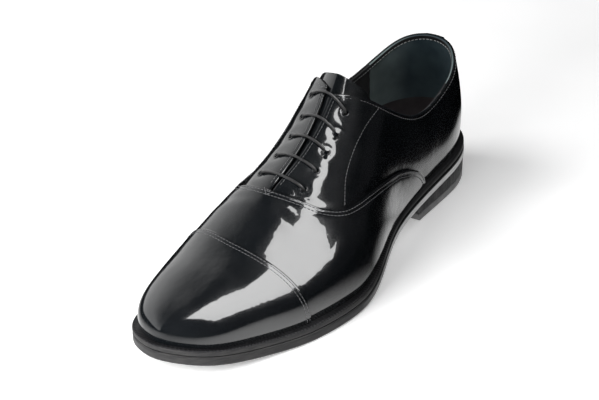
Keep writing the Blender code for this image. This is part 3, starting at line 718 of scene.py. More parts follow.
def mesh_from_grids(name, grids, sharp=SHARP_ANGLE):
    """One mesh from grids of points, joined where their borders meet, faces pointing out."""
    points = []
    shares = []
    faces = []
    count = 0
    for grid in grids:
        rows, cols = grid.shape[:2]
        points.append(to_row(grid).reshape(-1, 3))
        along, up = np.meshgrid(np.linspace(0, 1, cols), np.linspace(0, 1, rows))
        shares.append(np.stack([along, up], axis=-1).reshape(-1, 2))
        faces.append(grid_faces(rows, cols, count))
        count += rows * cols
    mesh = bpy.data.meshes.new(name)
    mesh.from_pydata(np.concatenate(points).tolist(), [], np.concatenate(faces).tolist())
    layer = mesh.uv_layers.new(name="grid")
    corner = np.empty(len(mesh.loops), int)
    mesh.loops.foreach_get("vertex_index", corner)
    layer.data.foreach_set("uv", np.concatenate(shares)[corner].ravel())
    work = bmesh.new()
    work.from_mesh(mesh)
    bmesh.ops.remove_doubles(work, verts=work.verts, dist=MERGE * MM)
    bmesh.ops.recalc_face_normals(work, faces=work.faces)
    work.to_mesh(mesh)
    work.free()
    mesh.shade_smooth()
    mesh.set_sharp_from_angle(angle=sharp)
    return mesh


def add_piece(name, mesh, finish, slot, *nodes):
    """A piece of the shoe, standing for the named solids."""
    made = bpy.data.objects.new(name, mesh)
    bpy.context.scene.collection.objects.link(made)
    mesh.materials.append(finish)
    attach(made, "root")
    if nodes:
        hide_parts(*nodes)
    return made


def add_grids(name, grids, finish, slot, *nodes):
    """A piece made of grids of points."""
    return add_piece(name, mesh_from_grids(name, grids), finish, slot, *nodes)


BORDERS = {"start": np.s_[0, :], "end": np.s_[-1, :], "low": np.s_[:, 0], "high": np.s_[:, -1]}


def closed_sheet(outer, inner, rims):
    """Grids of a sheet of leather: outer face, inner face, and a rim along each named border."""
    return [outer, inner] + [np.stack([outer[BORDERS[rim]], inner[BORDERS[rim]]]) for rim in rims]


def spread(stops):
    """Places along the feather line from a table of stations in percent and steps up to each."""
    places = [float(LAST.place(stops[0][0]))]
    for station, count in stops[1:]:
        places.extend(np.linspace(places[-1], float(LAST.place(station)), count + 1)[1:])
    return np.array(places)


def girth_rate(place, side, rise):
    """Millimetres of leather to one unit of rise."""
    step = 0.002
    low = np.clip(rise - step, 0, 1 - 2 * step)
    ahead = LAST.skin(place, side, low + 2 * step)
    return np.linalg.norm(ahead - LAST.skin(place, side, low), axis=-1) / (2 * step)


def rolled_rows(place, side, edge, count, bunch=1.0):
    """Rises from the feather line to a rolled edge, closer together near it."""
    rate = girth_rate(place, side, edge)[:, None]
    near = np.maximum(edge[:, None] - np.array(ROLL_ROWS) / rate, ROLL_FLOOR * edge[:, None])
    share = np.linspace(0, 1, count + 1) ** bunch
    return np.concatenate([near[:, :1] * share, near[:, 1:]], axis=1)


def rolled(inner, outer, distance, radius=ROLL_RADIUS):
    """Offset of a face that curls down to its free edge."""
    turn = np.clip(1 - distance / radius, 0, 1)
    return inner + (outer - inner) * np.sqrt(1 - turn ** 2)


def edge_distance(points, line):
    """Distance of each point from a line of points."""
    flat = points.reshape(-1, 3)
    nearest = np.full(len(flat), np.inf)
    for start in range(0, len(line), 200):
        part = line[start:start + 200]
        square = ((flat[:, None] - part[None]) ** 2).sum(-1).min(1)
        nearest = np.minimum(nearest, square)
    return np.sqrt(nearest).reshape(points.shape[:-1])


def crease_relief(points, side):
    """Soft troughs and ridges in the leather, in millimetres along its outward direction."""
    height = np.zeros(points.shape[:-1])
    for crease in CREASES:
        if crease.side != side:
            continue
        place = LAST.place(crease.station)
        centre = LAST.skin(place, side, crease.rise)
        out = LAST.normal(place, side, crease.rise)
        ahead = unit(LAST.skin(place + 1, side, crease.rise) - centre)
        up = np.cross(out, ahead) * side
        turn = math.radians(crease.turn)
        offset = points - centre
        along = offset @ (math.cos(turn) * ahead + math.sin(turn) * up)
        across = offset @ (math.cos(turn) * up - math.sin(turn) * ahead)
        spread_out = (along / crease.half_length) ** 2 + (across / crease.half_width) ** 2
        height += crease.height * np.exp(-spread_out)
    return height


def bend_line(side):
    """Line beside the lace holes of one side, run on at both ends."""
    holes = []
    for eyelet in EYELETS:
        place = lace_place(eyelet, side, eyelet.from_ridge)
        rise = LAST.rise_at_distance(place, side, eyelet.from_ridge + BEND_OUTSIDE)
        holes.append(LAST.skin(place, side, rise))
    holes = np.array(holes)
    before = holes[0] + unit(holes[0] - holes[1]) * BEND_RUN_ON
    after = holes[-1] + unit(holes[-1] - holes[-2]) * BEND_RUN_ON
    corners = np.concatenate([[before], holes, [after]])
    at = np.arange(len(corners))
    fine = np.linspace(0, at[-1], BEND_POINTS)
    return np.stack([np.interp(fine, at, corners[:, k]) for k in range(3)], axis=-1)


def eyelet_relief(points, side):
    """The facing bends beside the holes, dips at each, and stands up round its edge."""
    from_seam = edge_distance(points, vamp_line()[0])
    height = BEND_HEIGHT * np.exp(-(edge_distance(points, bend_line(side)) / BEND_HALF_WIDTH) ** 2)
    height *= 1 - np.exp(-(from_seam / BEND_FADE) ** 2)
    for eyelet in EYELETS:
        distance = np.linalg.norm(points - eyelet_point(eyelet, side)[0], axis=-1)
        height -= DIMPLE_DEPTH * np.exp(-(distance / DIMPLE_RADIUS) ** 2)
        height += EYELET_RIM_HEIGHT * np.exp(-((distance - EYELET_RIM_RADIUS) / EYELET_RIM_WIDTH) ** 2)
    return height


def leather(place, side, rise, inner, outer, border=None, relief=None):
    """Outer and inner face of leather between two offsets from the skin, rolled down to its border."""
    skin = LAST.skin(place, side, rise)
    out = LAST.normal(place, side, rise)
    height = np.full(skin.shape[:-1], float(outer))
    if border is not None:
        height = rolled(inner, outer, edge_distance(skin, border))
    if relief is not None:
        height = height + relief(skin, side)
    return skin + height[..., None] * out, skin + inner * out


def with_foot(points):
    """A first row just above the welt, under the lowest row."""
    foot = points[:, :1].copy()
    foot[..., 2] -= FOOT_DROP
    return np.concatenate([foot, points], axis=1)


def rolled_sheet(params, inner, outer, edges, rims):
    """Grids of leather on both sides, rolled down to the named edges, from places and rises by side."""
    border = np.concatenate([LAST.skin(places, side, rise)[BORDERS[edge]]
                             for side, (places, rise) in params.items() for edge in edges])
    grids = []
    for side, (places, rise) in params.items():
        grids += closed_sheet(*leather(places, side, rise, inner, outer, border), rims)
    return grids


def across_ridge(course):
    """A line up the outer side and down the inner one, with its normals, from places and rises by side."""
    points = []
    normals = []
    for side in SIDES:
        places, rise = course(side)
        order = np.s_[:] if side > 0 else np.s_[-2::-1]
        points.append(LAST.skin(places, side, rise)[order])
        normals.append(LAST.normal(places, side, rise)[order])
    return np.concatenate(points), np.concatenate(normals)


# Upper

def top_rise(place, side):
    """Upper edge of the quarters: collar line, rounded facing tip, then the slit down under the vamp."""
    share = LAST.station(place) / LAST_LENGTH
    past_tip = np.maximum(share - FACING_TIP, 0) * 100
    along_slit = np.clip((share - FACING_TIP) / (THROAT_BASE - FACING_TIP), 0, 1)
    half_gap = SLIT_HALF_TIP + (SLIT_HALF_BASE - SLIT_HALF_TIP) * along_slit
    at_slit = np.where(share > SLIT_FROM, LAST.rise_at_distance(place, side, half_gap), NO_SLIT)
    collar = side_curve(COLLAR, side)(np.minimum(share, FACING_TIP) * 100)
    at_collar = LAST.rise_at_height(place, side, collar) + past_tip * TIP_SLOPE
    return -TIP_BLEND * np.log(np.exp(-at_slit / TIP_BLEND) + np.exp(-at_collar / TIP_BLEND))


def below_top(places, side, distance):
    """Rise at a distance under the quarters' upper edge."""
    edge = top_rise(places, side)
    return edge - distance / girth_rate(places, side, edge)


def top_line(side, start=0.0, stop=QUARTER_END, count=900):
    """The quarters' upper edge as points on the skin."""
    places = np.linspace(LAST.place(start), LAST.place(stop), count)
    return places, LAST.skin(places, side, top_rise(places, side))


def quarter_relief(points, side):
    dip = SEAM_DIP * np.exp(-(edge_distance(points, vamp_line()[0]) / SEAM_DIP_WIDTH) ** 2)
    return crease_relief(points, side) + eyelet_relief(points, side) - dip


def vamp_relief(points, side):
    from_row = edge_distance(points, vamp_line()[0]) - sum(VAMP_ROWS_FROM_EDGE) / 2
    return crease_relief(points, side) - STITCH_PRESS * np.exp(-(from_row / STITCH_PRESS_WIDTH) ** 2)


def make_quarters(finish):
    places = spread(QUARTER_STOPS)
    grids = []
    for side in SIDES:
        rise = rolled_rows(places, side, top_rise(places, side), QUARTER_ROWS, QUARTER_BUNCH)
        border = top_line(side)[1]
        faces = leather(places[:, None], side, rise, -QUARTER_LEATHER, 0, border, quarter_relief)
        grids += closed_sheet(*faces, ("low", "high", "end"))
    punch(add_grids("quarters", grids, finish, "patent_leather", "upper"))


def lace_hole_cutter():
    """Ten drills, square to the leather."""
    work = bmesh.new()
    for eyelet in EYELETS:
        for side in SIDES:
            point, out = eyelet_point(eyelet, side)
            turn = Vector(out).to_track_quat("Z", "Y").to_matrix().to_4x4()
            bmesh.ops.create_cone(work, cap_ends=True, segments=DRILL_SIDES, radius1=EYELET_RADIUS * MM,
                                  radius2=EYELET_RADIUS * MM, depth=4 * WALL * MM,
                                  matrix=Matrix.Translation(Vector(to_row(point))) @ turn)
    mesh = bpy.data.meshes.new("lace_hole_cutter")
    work.to_mesh(mesh)
    work.free()
    cutter = bpy.data.objects.new("lace_hole_cutter", mesh)
    bpy.context.scene.collection.objects.link(cutter)
    cutter.hide_render = True
    return cutter


def punch(piece):
    """Cut the lace holes through a sheet of leather."""
    cutter = lace_hole_cutter()
    cut = piece.modifiers.new("lace holes", "BOOLEAN")
    cut.operation = "DIFFERENCE"
    cut.solver = "EXACT"
    cut.object = cutter
    bpy.context.view_layer.update()
    graph = bpy.context.evaluated_depsgraph_get()
    mesh = bpy.data.meshes.new_from_object(piece.evaluated_get(graph))
    piece.modifiers.clear()
    piece.data = mesh
    mesh.set_sharp_from_angle(angle=SHARP_ANGLE)
    bpy.data.objects.remove(cutter)


def make_lining(front_finish, rear_finish):
    """Lining of the quarters behind its seam, and of facings and forepart in front of it."""
    seam = float(LAST.place(LINING_SEAM))
    stops = spread(LINING_STOPS)
    rear = np.r_[stops[stops < seam - LINING_SEAM_ROOM], seam]
    ahead = np.r_[seam + LINING_SEAM_GAP, stops[stops > seam + LINING_SEAM_ROOM]]
    rims = ("low", "high", "end")
    parts = (("lining_quarters", rear_finish, rear, rims),
             ("lining_front", front_finish, ahead, rims + ("start",)))
    for name, finish, places, part_rims in parts:
        grids = []
        for side in SIDES:
            rise = rolled_rows(places, side, below_top(places, side, LINING_BELOW), LINING_ROWS)
            faces = leather(places[:, None], side, rise, -WALL, -QUARTER_LEATHER - LINING_GAP)
            grids += closed_sheet(*faces, part_rims)
        made = add_grids(name, grids, finish, "lining", "upper")
        if name == "lining_front":
            punch(made)


def make_topline_band(finish, thread):
    """Black strip inside the collar, with a stitch row along its lower edge."""
    places = spread(TOPLINE_STOPS)
    depths = TOPLINE_BAND + (LINING_BELOW - TOPLINE_BAND) * np.linspace(0, 1, TOPLINE_ROWS + 1)
    grids = []
    rows = []
    for side in SIDES:
        rise = np.stack([below_top(places, side, depth) for depth in depths], axis=1)
        faces = leather(places[:, None], side, rise, -WALL - TOPLINE_LEATHER, -WALL - TOPLINE_SEAT)
        grids += closed_sheet(*faces, ("low", "high", "end"))
        rise = below_top(places, side, TOPLINE_STITCH)
        out = LAST.normal(places, side, rise)
        rows.append((LAST.skin(places, side, rise) - (WALL + TOPLINE_LEATHER) * out, -out))
    add_grids("topline_band", grids, finish, "lining")
    add_stitches("topline_stitches", rows, thread, "lining")


def vamp_edge(place, side):
    """The vamp's upper edge with its corners eased."""
    table = columns(VAMP_SEAM)
    stations = np.linspace(VAMP_SEAM[0].station, VAMP_RIDGE, VAMP_EASE_POINTS)
    heights = np.interp(stations, table["station"], table["height"])
    reach = VAMP_EASE_REACH
    window = np.hanning(2 * reach + 1)
    padded = np.r_[2 * heights[0] - heights[reach:0:-1], heights,
                   2 * heights[-1] - heights[-2:-2 - reach:-1]]
    eased = np.convolve(padded, window / window.sum(), "valid")
    percent = LAST.percent(place)
    height = np.interp(percent, stations, eased)
    rise = LAST.rise_at_height(place, side, LAST.feather_z(place) + height)
    return np.where(percent >= VAMP_RIDGE - 1e-6, 1.0, rise)


def vamp_line(count=700):
    """The vamp's upper edge from the outer heel breast over the throat to the inner, with its normals."""
    start, fine, ridge = LAST.place((VAMP_SEAM[0].station, VAMP_FINE_FROM, VAMP_RIDGE))
    places = np.r_[np.linspace(start, fine, count), np.linspace(fine, ridge, count)[1:]]
    return across_ridge(lambda side: (places, vamp_edge(places, side)))


def make_vamp(finish):
    """Wings along the sides, and a saddle in front of the throat that runs on under the cap."""
    border = vamp_line()[0]
    places = spread(WING_STOPS)
    last = places[-1]
    first = np.array(SADDLE_STEPS)
    share = np.linspace(0, 1, SADDLE_COLUMNS + 1)[1:, None]
    grids = []
    for side in SIDES:
        rise = rolled_rows(places, side, vamp_edge(places, side), WING_ROWS, WING_BUNCH)
        rows = rise[-1]
        seam = cap_place(side, rows) + UNDERLAP
        near = np.broadcast_to((last + first)[:, None], (len(first), len(rows)))
        saddle = np.concatenate([near, last + first[-1] + share * (seam - last - first[-1])])
        parts = ((places[:, None], rise, ("start", "low", "high")), (saddle, rows, ("low", "end")))
        for grid, rises, rims in parts:
            faces = leather(grid, side, rises, OVERLAY_INNER, VAMP_OUTER, border, vamp_relief)
            grids += closed_sheet(*map(with_foot, faces), rims)
    add_grids("vamp_leather", grids, finish, "patent_leather", "vamp")


def cap_line(count=500):
    """Rear edge of the toe cap from the outer foot over the ridge to the inner foot, with its normals."""
    rise = np.linspace(0, 1, count)
    return across_ridge(lambda side: (cap_place(side, rise), rise))


def make_toe_cap(finish):
    border = cap_line()[0]
    rows = np.linspace(0, 1, CAP_ROWS + 1)
    first = np.array(ROLL_ROWS)[::-1, None]
    share = np.sin(np.linspace(0, math.pi / 2, CAP_COLUMNS + 1))[1:, None]
    grids = []
    for side in SIDES:
        near = cap_place(side, rows) + first
        grid = np.concatenate([near, near[-1] + share * (LAST.end - near[-1])])
        faces = leather(grid, side, rows, CAP_INNER, CAP_OUTER, border, crease_relief)
        grids += closed_sheet(*map(with_foot, faces), ("low", "start"))
    add_grids("cap_leather", grids, finish, "patent_leather", "toe_cap")


def make_back_tab(finish):
    """Strip over the back seam, with a rolled border."""
    down = np.linspace(0, 1, TAB_GRID_ROWS + 1)
    heights = COLLAR[0].outer - TAB_BELOW_COLLAR - TAB_LENGTH * down
    widths = TAB_HALF_WIDTH * np.sqrt(np.clip(1 - down ** 4, 0.0, 1))
    near = np.linspace(0, LAST.place(TAB_REACH), TAB_LOOKUP_POINTS)
    share = np.sin(np.linspace(0, math.pi / 2, TAB_GRID_COLUMNS + 1))
    places = np.interp(share[:, None] * widths, LAST.at("lateral", near), near)
    params = {side: (places, LAST.rise_at_height(places, side, heights)) for side in SIDES}
    grids = rolled_sheet(params, OVERLAY_INNER, TAB_OUTER, ("end", "low"), ("end", "low", "high"))
    add_grids("tab_leather", grids, finish, "patent_leather", "back_tab")


def make_tongue(finish):
    """Thin leather under the facings, with a round top."""
    table = columns(TONGUE)
    round_end = TONGUE[2].station
    stations = np.r_[np.linspace(TONGUE[0].station, round_end, TONGUE_ROUND_STEPS + 1)[:-1],
                     np.linspace(round_end, TONGUE[-1].station, TONGUE_LONG_STEPS + 1)]
    widths = np.interp(stations, table["station"], table["half_width"])
    across = widths[:, None] * np.sin(np.linspace(math.pi / 2, 0, TONGUE_ROWS + 1))
    places = LAST.place(stations[:, None] - TONGUE_SLANT * across ** 2 / LAST_LENGTH * 100)
    params = {side: (places, rise_across(places, side, across)) for side in SIDES}
    outer = -WALL - TONGUE_CLEARANCE
    grids = rolled_sheet(params, outer - TONGUE_LEATHER, outer, ("low", "start"), ("start", "end", "low"))
    add_grids("tongue_leather", grids, finish, "patent_leather", "tongue")


def lie_beside(line, normals, distance, height):
    """A line moved across the leather, to the right of its run seen from outside, and raised."""
    run = unit(np.gradient(line, axis=0))
    across = unit(np.cross(run, normals))
    return line + distance * across + height * normals, normals


def stitch_mesh(name, rows):
    """Short threads along rows of points with their normals, joined in one mesh."""
    shape = columns(STITCH_SHAPE)
    share = shape["share"]
    width = shape["width"] * STITCH_RADIUS
    lift = shape["lift"] * STITCH_RADIUS
    around = np.linspace(0, 2 * math.pi, STITCH_SIDES, endpoint=False)
    points = []
    faces = []
    count = 0
    for line, normals in rows:
        length = np.r_[0, np.cumsum(np.linalg.norm(np.diff(line, axis=0), axis=1))]
        starts = np.arange(STITCH_GAP, length[-1] - STITCH_LENGTH, STITCH_LENGTH + STITCH_GAP)
        at = starts[:, None] + share * STITCH_LENGTH
        centre = np.stack([np.interp(at, length, line[:, k]) for k in range(3)], axis=-1)
        out = unit(np.stack([np.interp(at, length, normals[:, k]) for k in range(3)], axis=-1))
        run = unit(np.gradient(centre, axis=1))
        across = np.cross(run, out)
        centre = centre + lift[:, None] * out
        ring = (np.cos(around)[:, None] * across[:, :, None] + np.sin(around)[:, None] * out[:, :, None])
        points.append(to_row(centre[:, :, None] + width[:, None, None] * ring).reshape(-1, 3))
        for _ in starts:
            number = count + np.arange(len(share) * STITCH_SIDES).reshape(len(share), STITCH_SIDES)
            after = np.roll(number, -1, axis=1)
            sides = np.stack([number[:-1], after[:-1], after[1:], number[1:]], axis=-1)
            faces += sides.reshape(-1, 4).tolist()
            faces += [number[0, ::-1].tolist(), number[-1].tolist()]
            count += number.size
    mesh = bpy.data.meshes.new(name)
    mesh.from_pydata(np.concatenate(points).tolist(), [], faces)
    mesh.shade_smooth()
    return mesh


def add_stitches(name, rows, finish, slot):
    add_piece(name, stitch_mesh(name, rows), finish, slot)


def make_eyelet_rims(finish):
    """The rolled edges of the lace holes, joined in one mesh."""
    turn = np.linspace(0, 2 * math.pi, EYELET_TURN_STEPS + 1)[:, None]
    roll = np.linspace(0, 2 * math.pi, EYELET_ROLL_STEPS + 1)[:, None]
    grids = []
    for side in SIDES:
        for eyelet in EYELETS:
            middle, out = eyelet_point(eyelet, side)
            along = unit(np.cross(out, (0.0, 1.0, 0.0)))
            arm = np.cos(turn) * along + np.sin(turn) * np.cross(out, along)
            base = middle + (EYELET_RADIUS + EYELET_ROLL) * arm
            base = base + eyelet_relief(base, side)[:, None] * out
            grids.append(base[:, None] + EYELET_ROLL * (np.cos(roll) * arm[:, None] + np.sin(roll) * out))
    add_grids("eyelet_rims", grids, finish, "patent_leather")


def seam_rows(line, normals, distances, height):
    """Stitch rows beside a seam, which is left bare at both ends."""
    run = np.s_[STITCH_TRIM:-STITCH_TRIM]
    return [lie_beside(line[run], normals[run], -distance, height) for distance in distances]


def make_stitches(finish):
    rows = seam_rows(*vamp_line(), VAMP_ROWS_FROM_EDGE, VAMP_OUTER - STITCH_PRESS / 2)
    add_stitches("vamp_stitches", rows, finish, "patent_leather")
    rows = seam_rows(*cap_line(), CAP_ROWS_FROM_EDGE, CAP_OUTER)
    add_stitches("cap_stitches", rows, finish, "patent_leather")
    rows = []
    for side in SIDES:
        places, line = top_line(side, *COLLAR_STITCH_RUN)
        normals = LAST.normal(places, side, top_rise(places, side))
        rows.append(lie_beside(line, normals, -side * COLLAR_STITCH, 0))
        start, stop = LAST.place((FACING_SEAM[0].station, FACING_SEAM[-1].station))
        places = np.linspace(start, stop, FACING_SEAM_POINTS)
        height = table_curve(FACING_SEAM, "height")(LAST.percent(places))
        rise = LAST.rise_at_height(places, side, LAST.feather_z(places) + height)
        rows.append((LAST.skin(places, side, rise), LAST.normal(places, side, rise)))
    add_stitches("quarter_stitches", rows, finish, "patent_leather")


def tube(path, across, radius):
    """Grid of a round cord along a path, closed at both ends."""
    run = unit(np.gradient(path, axis=0))
    side = unit(across - (across * run).sum(-1, keepdims=True) * run)
    up = np.cross(side, run)
    around = np.linspace(0, 2 * math.pi, LACE_SIDES + 1)[:, None]
    wide = radius * np.cos(around) * side[:, None]
    high = radius * np.sin(around) * up[:, None]
    body = path[:, None] + wide + high
    ends = [np.broadcast_to(path[k], body[0].shape)[None] for k in (0, -1)]
    return np.concatenate([ends[0], body, ends[1]])


def smooth_path(points, count):
    """A smooth curve through points, evenly divided."""
    points = np.asarray(points, float)
    length = np.r_[0, np.cumsum(np.linalg.norm(np.diff(points, axis=0), axis=1))]
    at = np.linspace(0, length[-1], count)
    return np.stack([smooth_curve(length, points[:, k])(at) for k in range(3)], axis=-1)


def make_laces(finish):
    """Each bar comes up through a hole, crosses the slit and goes down through the hole opposite."""
    dive = columns(LACE_DIVE)
    cross_height = np.full(LACE_CROSS_POINTS, LACE_THICKNESS / 2 + LACE_ABOVE)
    for number, eyelet in enumerate(EYELETS, start=1):
        path = []
        for side in SIDES:
            down = eyelet.from_ridge - dive["inward"]
            across = np.r_[down, np.linspace(down[-1], 0, LACE_CROSS_POINTS + 1)[1:]]
            places = lace_place(eyelet, side, across)
            rise = rise_across(places, side, across)
            skin = LAST.skin(places, side, rise)
            height = np.r_[dive["height"], cross_height] + eyelet_relief(skin, side)
            half = skin + height[:, None] * LAST.normal(places, side, rise)
            path.append(half if side > 0 else half[-2::-1])
        line = smooth_path(np.concatenate(path), LACE_STEPS)
        ahead = np.broadcast_to([1.0, 0.0, 0.0], line.shape)
        grids = [tube(line, ahead, LACE_THICKNESS / 2)]
        add_grids(f"lace_{number}", grids, finish, "lace", f"lace_bar_{number}")


# Sole

def plan_ring(distance, height):
    """Closed line round the sole, so far from the feather line, from the heel along the outer side."""
    halves = []
    for side in SIDES:
        x, y = outline(side, distance)
        halves.append(np.column_stack([x, y, height(x)]))
    return np.concatenate([halves[0], halves[1][-2::-1]])


def ladder(distance, height, steps=10):
    """Level face of the sole inside such a line."""
    outer = np.column_stack(outline(1, distance))
    inner = np.column_stack(outline(-1, distance))
    share = np.linspace(0, 1, steps + 1)[None, :, None]
    flat = outer[:, None] * (1 - share) + inner[:, None] * share
    return np.concatenate([flat, height(flat[..., :1])], axis=-1)


def slab_grids(rings):
    """Grids of a slab from rings of inset distance and height, lowest first."""
    wall = np.stack([plan_ring(*ring) for ring in rings])
    return [wall, ladder(*rings[0]), ladder(*rings[-1])]


def make_outsole(finish):
    rings = [(sole_edge(inset), under_plus(lift)) for inset, lift in OUTSOLE_EDGE]
    add_grids("outsole_dressed", slab_grids(rings), finish, "outsole", "outsole")


def make_insole(finish):
    top = FEATHER + INSOLE_ABOVE_FEATHER
    rings = [(inside_feather(INSOLE_INSET), under_plus(OUTSOLE + GAP))]
    for inset, depth in INSOLE_EDGE:
        rings.append((inside_feather(INSOLE_INSET + inset), under_plus(top - depth)))
    add_grids("insole_sock", slab_grids(rings), finish, "lining", "insole")


def make_welt(finish):
    """Strip round the shoe with fine ribs pressed into its upper edge in front of the waist."""
    base = OUTSOLE + GAP
    places = np.linspace(0, LAST.end, PLAN_POINTS)
    weight = np.clip((LAST.station(places) / LAST_LENGTH - RIB_START) / RIB_FADE, 0, 1)
    rib = RIB_HEIGHT * weight * np.cos(2 * math.pi * places / RIB_PITCH)
    ribs = np.r_[rib, rib[-2::-1]]
    rings = []
    for point in WELT_PROFILE:
        inner = point.from_edge is None
        distance = inside_feather(WELT_INSET) if inner else sole_edge(point.from_edge)
        ring = plan_ring(distance, under_plus(base + point.lift))
        ring[:, 2] += ribs * point.rib
        rings.append(ring)
    add_grids("welt_dressed", [np.stack(rings + rings[:1])], finish, "welt_edge", "welt")


def heel_ring(inset, front, height):
    """Closed line round the heel, straight across its breast, and the level face inside it."""
    outer_x, outer_y = outline(1, sole_edge(inset))
    inner_x, inner_y = outline(-1, sole_edge(inset))
    turn = np.linspace(0, math.pi / 2, HEEL_COLUMNS + 1)
    x = outer_x[0] + (front - outer_x[0]) * (1 - np.cos(turn))
    outer = np.interp(x, outer_x, outer_y)
    inner = np.interp(x, inner_x, inner_y)
    share = np.linspace(0, 1, HEEL_RUNGS + 1)
    flat = np.stack([np.broadcast_to(x[:, None], (len(x), len(share))),
                     outer[:, None] * (1 - share) + inner[:, None] * share], axis=-1)
    face = np.concatenate([flat, height(flat[..., :1])], axis=-1)
    return np.concatenate([face[:, 0], face[-1, 1:-1], face[::-1, -1]]), face


def heel_grids(rings):
    made = [heel_ring(*ring) for ring in rings]
    return [np.stack([ring for ring, _ in made]), made[0][1], made[-1][1]]


def make_heel(block_finish, lift_finish):
    breast = HEEL_BREAST * LAST_LENGTH

    def inset_at(share):
        return HEEL_INSET_BOTTOM + (HEEL_INSET_TOP - HEEL_INSET_BOTTOM) * share

    def ring(share, more, height):
        return inset_at(share) + more, breast + BREAST_LEAN * share - more, height

    lift_share = HEEL_LIFT / HEEL_RISE
    rings = []
    for share, more in BLOCK_EDGE:
        at = lift_share + (1 - lift_share) * share
        bottom = HEEL_LIFT + GAP
        rings.append(ring(at, more, lambda x, s=share: bottom + (sole_underside(x) - GAP - bottom) * s))
    add_grids("heel_block_dressed", heel_grids(rings), block_finish, "heel", "heel_block")
    rings = [ring(lift_share * share, more, level(HEEL_LIFT * share)) for share, more in LIFT_EDGE]
    add_grids("heel_lift_dressed", heel_grids(rings), lift_finish, "heel_lift", "heel_lift")


# Materials

class Finish:
    """A material in the making, with the nodes that give it its look."""

    def __init__(self, name):
        self.material = bpy.data.materials.new(name)
        self.material.use_nodes = True
        self.nodes = self.material.node_tree.nodes
        self.links = self.material.node_tree.links
        self.shader = self.nodes["Principled BSDF"]

    def put(self, node, values):
        """Feed a node's inputs: other nodes' outputs are linked, plain values are set."""
        for name, value in values.items():
            if isinstance(value, bpy.types.NodeSocket):
                self.links.new(value, node.inputs[name])
            else:
                node.inputs[name].default_value = value

    def node(self, kind, result, values, **settings):
        """The named output of a new node with these inputs and settings."""
        made = self.nodes.new(kind)
        for name, value in settings.items():
            setattr(made, name, value)
        self.put(made, values)
        return made.outputs[result]

    def coordinate(self, space, axis):
        """Place in the row frame (Object), or share of the way along and up a piece's rows (UV)."""
        where = self.node("ShaderNodeTexCoord", space, {})
        return self.node("ShaderNodeSeparateXYZ", axis, {"Vector": where})

    def noise(self, size, detail=2.0, stretch=EVEN):
        """Noise with features of a size in millimetres, in the row frame."""
        where = self.node("ShaderNodeTexCoord", "Object", {})
        scaled = self.node("ShaderNodeMapping", "Vector", {"Vector": where, "Scale": stretch})
        values = {"Vector": scaled, "Scale": 1 / (size * MM), "Detail": detail}
        return self.node("ShaderNodeTexNoise", "Fac", values)

    def bump(self, height, distance, strength=GRAIN_STRENGTH, before=None):
        """Bump of a depth in millimetres, on top of another one where given."""
        values = {"Height": height, "Distance": distance * MM, "Strength": strength}
        if before is not None:
            values["Normal"] = before
        return self.node("ShaderNodeBump", "Normal", values)

    def ramp(self, value, low, high, start=0.35, stop=0.65):
        """Colours between two ends by a value."""
        made = self.nodes.new("ShaderNodeValToRGB")
        for element, place, colour in zip(made.color_ramp.elements, (start, stop), (low, high)):
            element.position = place
            element.color = (*colour, 1.0)
        self.put(made, {"Fac": value})
        return made.outputs["Color"]

    def between(self, value, start, stop, low=0.0, high=1.0, **settings):
        """A value's way from start to stop, as a number from low to high."""
        values = {"Value": value, "From Min": start, "From Max": stop, "To Min": low, "To Max": high}
        return self.node("ShaderNodeMapRange", "Result", values, **settings)

    def uneven(self, size, low, high):
        """A number that wanders between two ends, over a size in millimetres."""
        return self.between(self.noise(size), 0.3, 0.7, low, high)

    def mix(self, share, low, high):
        """A colour between two others."""
        values = {"Factor": share, "A": low, "B": high}
        return self.node("ShaderNodeMix", "Result", values, data_type="RGBA")

    def toward_toe(self):
        """Share of the way over which the sole's edge turns from its painted floor reflection to dark."""
        return self.between(self.coordinate("Object", "X"), SOLE_PAINTED_REFLECTION_TO, SOLE_DARK_FROM)


def patent_leather():
    """Black leather under a clear hard coat, not quite even."""
    made = Finish("patent_leather")
    wave = made.bump(made.noise(22, 0.0), 0.25, 1.0)
    wave = made.bump(made.noise(5, 1.0), 0.06, 1.0, wave)
    made.put(made.shader, {
        "Base Color": made.ramp(made.noise(30), (0.003, 0.004, 0.005), (0.006, 0.007, 0.008)),
        "Roughness": made.uneven(9, 0.16, 0.24),
        "Specular IOR Level": 0.3,
        "Coat Weight": 1.0,
        "Coat Roughness": 0.015,
        "Coat IOR": 1.6,
        "Normal": wave,
        "Coat Normal": wave,
    })
    return made.material


def lining_finish():
    """Grey-green leather, darker round the back of the heel, above a dark heel pad."""
    made = Finish("lining_leather")
    mottle = made.noise(12, 3.0)
    light = made.ramp(mottle, (0.165, 0.215, 0.215), (0.220, 0.280, 0.277))
    deep = made.ramp(mottle, (0.024, 0.038, 0.046), (0.038, 0.056, 0.064))
    pad = made.ramp(mottle, (0.026, 0.022, 0.024), (0.040, 0.034, 0.036))
    wall = made.mix(made.between(made.coordinate("Object", "X"), *LINING_FADE), deep, light)
    above_pad = made.between(made.coordinate("Object", "Z"), PAD_TOP - PAD_FADE, PAD_TOP)
    made.put(made.shader, {
        "Base Color": made.mix(above_pad, pad, wall),
        "Roughness": made.uneven(5, 0.62, 0.74),
        "Specular IOR Level": 0.2,
        "Normal": made.bump(made.noise(0.6, 3.0), 0.05),
    })
    return made.material


def welt_finish():
    """Black on top, with its edge in the sole's grey in front of the waist."""
    made = Finish("welt_edge")
    grey = made.ramp(made.noise(9, 3.0, STREAKS), *SOLE_EDGE_GREY)
    black = made.ramp(made.noise(12, 3.0), (0.005, 0.005, 0.006), (0.010, 0.010, 0.011))
    edge = made.ramp(made.coordinate("UV", "Y"), BLACK, WHITE, *WELT_GREY_SPAN)
    made.put(made.shader, {
        "Base Color": made.mix(made.toward_toe(), black, made.mix(edge, black, grey)),
        "Roughness": made.uneven(5, 0.39, 0.51),
        "Specular IOR Level": 0.15,
        "Normal": made.bump(made.noise(0.8, 3.0), 0.06),
    })
    return made.material


